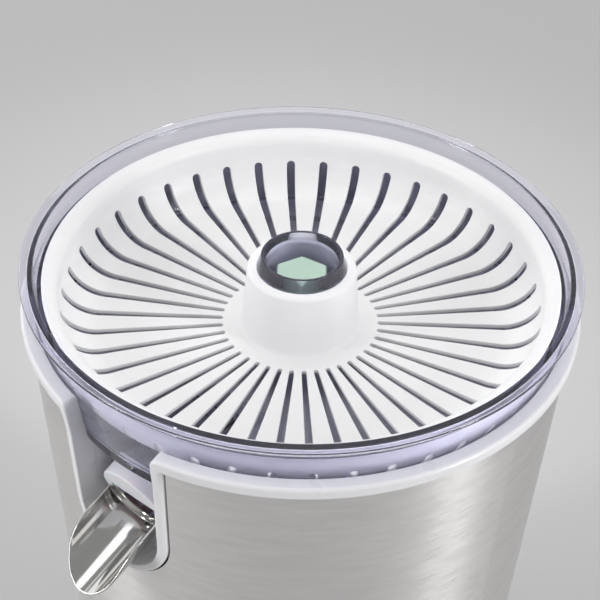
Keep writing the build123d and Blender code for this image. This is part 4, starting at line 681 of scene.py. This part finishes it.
def make_spout():
    """The trough: a sheet inside the rim's path on a cylinder, filled in towards its lowest line."""
    radius, sheet, length = TROUGH_RADIUS, TROUGH_SHEET, TROUGH_LENGTH
    oblique = length - (radius + SPOUT_LIP) / tan(TROUGH_CUT)
    edge = open_rounded([(SPOUT_ROOT, SPOUT_LIP, 0), (oblique, SPOUT_LIP, CUT_BLEND), (length, -radius, 0)])

    def radius_at(t):
        share = min(1, max(0, (t - NECK[0]) / (NECK[1] - NECK[0])))
        return ROOT_RADIUS + (TROUGH_RADIUS - ROOT_RADIUS) * share

    fine = []
    for (t1, h1), (t2, h2) in zip(edge, edge[1:]):
        pieces = max(1, ceil(sqrt((t2 - t1) ** 2 + (h2 - h1) ** 2) / 0.1))
        fine += [(t1 + (t2 - t1) * i / pieces, h1 + (h2 - h1) * i / pieces) for i in range(pieces)]
    fine.append(edge[-1])
    lip_angle = acos(SPOUT_LIP / ROOT_RADIUS)
    path = [(SPOUT_ROOT, pi + (lip_angle - pi) * i / 40) for i in range(40)]
    path += [(t, acos(max(-1, min(1, h / radius_at(t))))) for t, h in fine]
    lengths = [0]
    for (t1, a1), (t2, a2) in zip(path, path[1:]):
        lengths.append(lengths[-1] + sqrt((t2 - t1) ** 2 + (radius * (a2 - a1)) ** 2))

    def at(share):
        target = share * lengths[-1]
        i = max(j for j in range(len(path)) if lengths[j] <= target + 1e-9)
        i = min(i, len(path) - 2)
        rest = (target - lengths[i]) / (lengths[i + 1] - lengths[i])
        return tuple(a + (b - a) * rest for a, b in zip(path[i], path[i + 1]))

    half = [at(i / RIM_STEPS) for i in range(RIM_STEPS + 1)]
    rim = half + [(t, 2 * pi - a) for t, a in reversed(half[1:-1])]
    count = len(rim)
    inward = []
    for i in range(count):
        (t1, a1), (t2, a2) = rim[i - 1], rim[(i + 1) % count]
        turn = (a2 - a1 + pi) % (2 * pi) - pi
        across = Vector((radius * turn, -(t2 - t1)))
        inward.append(across.normalized() * -1)

    def skin(depth, back, share):
        """One loop: `depth` under the outside, `back` from the rim, `share` of the way out to it."""
        loop = []
        for i, (t, a) in enumerate(rim):
            t_rim = t + inward[i].x * back
            a_rim = a + inward[i].y * back / radius
            middle = min(max(t_rim, SPOUT_ROOT + MIDDLE_BACK), length - MIDDLE_FRONT)
            along = middle + (t_rim - middle) * share
            angle = pi + (a_rim - pi) * share
            reach = radius_at(along) - depth
            loop.append((reach * sin(angle), reach * cos(angle), along))
        return loop

    rows, corner = FILL_STEPS, SPOUT_CORNER
    turns = [radians(90) * i / 4 for i in range(5)]
    around = [(corner * (1 - cos(t)), corner * (1 - sin(t))) for t in turns]
    around = around + [(sheet - depth, back) for depth, back in reversed(around)]
    loops = [skin(0, corner, i / rows) for i in range(rows)]
    loops += [skin(depth, back, 1) for depth, back in around]
    loops += [skin(sheet, corner, i / rows) for i in reversed(range(rows))]
    obj = solid("steel_spout", placed(tube_grid(loops), to_spout))
    finish_normals(obj, 75)
    stand_for(obj, "spout", "bowl", "polished_steel")


# ---------------------------------------------------------------- collar
COLLAR_FLARE = 0.5          # how much larger the collar's radius is at its top than at its foot
COLLAR_FACE = 110.0         # radius at the collar's foot
LIP_INSIDE = 107.98
RING_FLANGE = 2.0           # depth of the foot where the ring turns into the strip
DECK_TOP = 246.4
CHANNEL_RADIUS = 20.0
CHANNEL_FLARE = 0.035
CHANNEL_CENTRE = 224.4      # height of the U's centre where it leaves the housing, at y CHANNEL_Y
CHANNEL_Y = -102.5
STRIP_WIDTH = 3.8
STRIP_PROUD = 1.8
STRIP_BACK = 3.0
CHEEK_WALL = 2.5
CHEEK_END = -95.0
MOUTH_ROUND = 4.0
BOWL_GAP = 0.4
FACE_BLEND = 10.0           # height under the foot in which the ring's face runs into the strip's
RING_EDGE_ROUND = 1.4
MOUTH_EDGE_ROUND = 0.9
STRIP_EDGE_ROUND = 0.6
RING_FOOT_ROUND = 0.4
STRIP_FOOT_ROUND = 1.6
ROUND_BLEND = 5.0           # height in which the mouth's roundings change to the strip's
HIDDEN_ROUND = 0.3          # of the walls' ends inside the housing
SETTLE = 12                 # rounds after which a point on two surfaces has settled


def face_radius(z):
    """Outside radius of the collar's ring and strip at height z."""
    if z > COLLAR_FOOT:
        return COLLAR_FACE + COLLAR_FLARE * (z - COLLAR_FOOT) / (COLLAR_TOP - COLLAR_FOOT)
    share = max(0, 1 - (COLLAR_FOOT - z) / FACE_BLEND)
    low = cone_radius(COLLAR_FOOT - FACE_BLEND if share else z) + STRIP_PROUD
    return low + (COLLAR_FACE - low) * share


def on_face(x, channel_height):
    """The point of the strip's face at x, on the channel's wall that has this height at y CHANNEL_Y."""
    y, z = CHANNEL_Y, channel_height
    for _ in range(SETTLE):
        y = -sqrt(face_radius(z) ** 2 - x * x)
        z = channel_height + (y - CHANNEL_Y) * tan(SPOUT_SLOPE)
    return Vector((x, y, z))


def bent(corners):
    """Closed loop through 3-D corners (point, radius, steps), each rounded in the same number of steps."""
    points = []
    for i, (corner, radius, steps) in enumerate(corners):
        if steps == 0:
            points.append(corner)
            continue
        before = (corners[i - 1][0] - corner).normalized()
        after = (corners[(i + 1) % len(corners)][0] - corner).normalized()
        half = before.angle(after) / 2
        centre = corner + (before + after).normalized() * (radius / sin(half))
        first = corner + before * (radius / tan(half)) - centre
        last = corner + after * (radius / tan(half)) - centre
        arms = [first.slerp(last, step / steps).normalized() for step in range(steps + 1)]
        points += [centre + arm * radius for arm in arms]
    return points


def collar_section(edge, foot, back, depth, flange, edge_round, foot_round):
    """One loop of the collar: its face runs from edge to foot, and both walls run along `back`.

    The web or cheek behind the edge is `depth` long; the flange behind the foot is `flange` deep.
    """
    across = foot - edge
    across = (across - back * across.dot(back)).normalized()
    flange = min(flange, depth - HIDDEN_ROUND)
    return bent([
        (edge, edge_round, 6),
        (foot, foot_round, 6),
        (foot + back * flange, 0, 0),
        (edge + back * flange + across * CHEEK_WALL, 0, 0),
        (edge + back * depth + across * CHEEK_WALL, HIDDEN_ROUND, 1),
        (edge + back * depth, HIDDEN_ROUND, 2),
    ])


def make_collar():
    """Ring, strip and cheeks in one skin: loops from the back of the ring to the U's lowest point."""
    half_ring = []

    def wall(channel_height, wider):
        """x of the channel's wall, `wider` than the channel, above the U's round part."""
        return CHANNEL_RADIUS + wider + CHANNEL_FLARE * (channel_height - CHANNEL_CENTRE)

    def channel_height_at(z, wider):
        """Height of the channel's wall, as on_face() takes it, that meets the face at z."""
        height = z
        for _ in range(SETTLE):
            x = wall(height, wider)
            height = z - (-sqrt(face_radius(z) ** 2 - x * x) - CHANNEL_Y) * tan(SPOUT_SLOPE)
        return height

    inner_low = channel_height_at(COLLAR_TOP - MOUTH_ROUND, 0)
    outer_low = channel_height_at(COLLAR_FOOT, STRIP_WIDTH)
    arc_x = wall(inner_low, 0) + MOUTH_ROUND
    arc_z = COLLAR_TOP - MOUTH_ROUND
    inner_corner = on_face(wall(outer_low, STRIP_WIDTH), outer_low)
    edge_first = asin(arc_x / face_radius(COLLAR_TOP))
    foot_first = asin(inner_corner.x / COLLAR_FACE)

    # The ring, from the back round to the mouth.
    steps = 150
    for i in range(steps + 1):
        angle = pi + (edge_first - pi) * i / steps
        top = Vector((sin(angle), -cos(angle), 0))
        low_angle = max(angle, foot_first)
        low = Vector((sin(low_angle), -cos(low_angle), 0))
        edge = top * face_radius(COLLAR_TOP) + Vector((0, 0, COLLAR_TOP))
        foot = low * COLLAR_FACE + Vector((0, 0, COLLAR_FOOT))
        depth = face_radius(COLLAR_TOP) - skirt_radius(COLLAR_TOP) - BOWL_GAP
        half_ring.append(collar_section(
            edge, foot, -top, depth, COLLAR_FACE - LIP_INSIDE, RING_EDGE_ROUND, RING_FOOT_ROUND
        ))

    # Round the mouth's corner, then down the strip and along the U to its lowest point.
    def strip_station(edge, foot, turn, edge_round, foot_round):
        """One loop whose walls turn from radial (0) to along the channel (1)."""
        radial = -Vector((edge.x, edge.y, 0)).normalized()
        along = Vector((0, 1, 0))
        level = radial.lerp(along, turn).normalized()
        if edge.z > DECK_TOP:
            target = skirt_radius(edge.z) + BOWL_GAP
            inward = -edge.dot(level)
            run = inward - sqrt(max(0, target ** 2 - edge.xy.length ** 2 + inward ** 2))
        else:
            run = CHEEK_END - edge.y
        rise = min(tan(SPOUT_SLOPE) * turn, max(0, COLLAR_TOP - edge.z) / run)
        back = (level + Vector((0, 0, rise))).normalized()
        depth = run * sqrt(1 + rise * rise)
        flange = RING_FLANGE + (STRIP_PROUD + STRIP_BACK - RING_FLANGE) * turn
        return collar_section(edge, foot, back, depth, flange * sqrt(1 + rise * rise), edge_round, foot_round)

    steps = 10
    for i in range(1, steps + 1):
        turn = i / steps
        x = arc_x - MOUTH_ROUND * sin(pi / 2 * turn)
        z = arc_z + MOUTH_ROUND * cos(pi / 2 * turn)
        edge = Vector((x, -sqrt(face_radius(z) ** 2 - x * x), z))
        edge_round = RING_EDGE_ROUND + (MOUTH_EDGE_ROUND - RING_EDGE_ROUND) * turn
        half_ring.append(strip_station(edge, inner_corner, turn, edge_round, RING_FOOT_ROUND))
    steps = 34
    for i in range(1, steps + 1):
        height = inner_low + (CHANNEL_CENTRE - inner_low) * i / steps
        low = min(height, outer_low)
        edge = on_face(wall(height, 0), height)
        foot = on_face(wall(low, STRIP_WIDTH), low)
        shape = min(1, max(0, (outer_low - low) / ROUND_BLEND))
        edge_round = MOUTH_EDGE_ROUND + (STRIP_EDGE_ROUND - MOUTH_EDGE_ROUND) * shape
        foot_round = RING_FOOT_ROUND + (STRIP_FOOT_ROUND - RING_FOOT_ROUND) * shape
        half_ring.append(strip_station(edge, foot, 1, edge_round, foot_round))
    steps = 26
    for i in range(1, steps + 1):
        turn = pi / 2 * i / steps
        edge, foot = (
            on_face(radius * cos(turn), CHANNEL_CENTRE - radius * sin(turn))
            for radius in (CHANNEL_RADIUS, CHANNEL_RADIUS + STRIP_WIDTH)
        )
        half_ring.append(strip_station(edge, foot, 1, STRIP_EDGE_ROUND, STRIP_FOOT_ROUND))

    mirrored = [[Vector((-p.x, p.y, p.z)) for p in loop] for loop in reversed(half_ring[1:-1])]
    obj = solid("white_collar", tube_grid(half_ring + mirrored, closed=True))
    finish_normals(obj, 50)
    stand_for(obj, "collar", "base_unit", "white_gloss")


make_strainer()
make_bowl()
make_ring()
make_spout()
make_collar()


# ---------------------------------------------------------------- floor, light and camera
FLOOR_HALF = 12.0
PAINTED_LIGHT_CENTRE = (-0.219, 0.260, 0)    # middle of the pool of painted light on the floor behind the object, in metres
PAINTED_LIGHT_REACH = (0.10, 0.36)           # distances between which the painted pool of light fades out
# the floor's colour in the middle of the painted pool of light, and away from it
PAINTED_LIGHT_TONE = (0.610, 0.606, 0.610, 1)
FLOOR_TONE = (0.488, 0.485, 0.490, 1)
CENTRE = (0, 0, 0.25)               # what the lights are turned to
VIEW_TURN = radians(40.1)
VIEW_TILT = 0.6755
VIEW_ROLL = 0.0295
VIEW_PLACE = Vector((0.3932, -0.4675, 0.7598))
VIEW_LENS = 118.45
SENSOR_WIDTH = 36
WORLD_STRENGTH = 0.36


def make_floor():
    """A wide matt floor at the object's foot, with a painted pool of light behind the object."""
    mesh = bpy.data.meshes.new("floor")
    half = FLOOR_HALF
    corners = [(-half, -half, 0), (half, -half, 0), (half, half, 0), (-half, half, 0)]
    mesh.from_pydata(corners, [], [(0, 1, 2, 3)])
    obj = bpy.data.objects.new("floor", mesh)
    bpy.context.scene.collection.objects.link(obj)
    material = Material("studio floor", (0.5, 0.5, 0.5, 1), 0.85)
    apart = material.node("VectorMath")
    apart.operation = "DISTANCE"
    material.tree.links.new(material.place, apart.inputs[0])
    apart.inputs[1].default_value = PAINTED_LIGHT_CENTRE
    # painted light: the floor's colour is lighter near the pool's centre and fades to FLOOR_TONE further away
    near, far = PAINTED_LIGHT_REACH
    painted_light = material.node("MapRange", Value=apart.outputs["Value"], From_Min=near, From_Max=far)
    painted_light.interpolation_type = "SMOOTHSTEP"
    blend = material.tree.nodes.new("ShaderNodeMix")
    blend.data_type = "RGBA"
    material.tree.links.new(painted_light.outputs["Result"], blend.inputs[0])
    blend.inputs[6].default_value = PAINTED_LIGHT_TONE
    blend.inputs[7].default_value = FLOOR_TONE
    material.tree.links.new(blend.outputs[2], material.shader.inputs["Base Color"])
    material.bump(material.noise(0.002), 0.00005, 0.1)
    mesh.materials.append(material.data)


def softbox(name, place, size, power):
    """An area light of this size in metres and power in watts, turned to the object."""
    lamp = bpy.data.lights.new(name, "AREA")
    lamp.shape = "RECTANGLE"
    lamp.size, lamp.size_y = size
    lamp.energy = power
    obj = bpy.data.objects.new(name, lamp)
    obj.location = place
    obj.rotation_euler = (Vector(CENTRE) - place).to_track_quat("-Z", "Y").to_euler()
    bpy.context.scene.collection.objects.link(obj)


make_floor()
ahead = Vector((-cos(VIEW_TILT) * sin(VIEW_TURN), cos(VIEW_TILT) * cos(VIEW_TURN), -sin(VIEW_TILT)))
level = Vector((cos(VIEW_TURN), sin(VIEW_TURN), 0))
upright = level.cross(ahead)
camera_right = level * cos(VIEW_ROLL) + upright * sin(VIEW_ROLL)
camera_up = upright * cos(VIEW_ROLL) - level * sin(VIEW_ROLL)
lens = bpy.data.cameras.new("camera")
lens.lens = VIEW_LENS
lens.sensor_width = SENSOR_WIDTH
lens.clip_start = 0.01
camera = bpy.data.objects.new("camera", lens)
camera.matrix_world = Matrix.Translation(VIEW_PLACE) @ Matrix(
    (camera_right, camera_up, -ahead)
).transposed().to_4x4()
bpy.context.scene.collection.objects.link(camera)
bpy.context.scene.camera = camera


def beside(right, forward, height):
    """A place from the object's foot, in metres to the camera's right and away from the camera."""
    away = Vector((ahead.x, ahead.y, 0)).normalized()
    return level * right + away * forward + Vector((0, 0, height))


softbox("overhead", beside(0, 0.3, 1.9), (1.8, 1.4), 11.5)
softbox("back", beside(0, 2.0, 1.1), (2.4, 1.0), 10)
softbox("left", beside(-1.5, 0.1, 1.1), (1.2, 1.2), 3)
softbox("left back", beside(-1.4, 1.3, 0.9), (1.0, 1.2), 3.5)
softbox("right strip", beside(1.13, -0.65, 0.55), (0.2, 1.0), 11)
softbox("left strip", beside(-1.2, -0.5, 0.55), (0.2, 1.0), 8)

world = bpy.data.worlds.new("studio")
world.use_nodes = True
background = next(n for n in world.node_tree.nodes if n.type == "BACKGROUND")
background.inputs["Color"].default_value = (1, 1, 1, 1)
background.inputs["Strength"].default_value = WORLD_STRENGTH
bpy.context.scene.world = world
bpy.context.scene.view_settings.view_transform = "Standard"
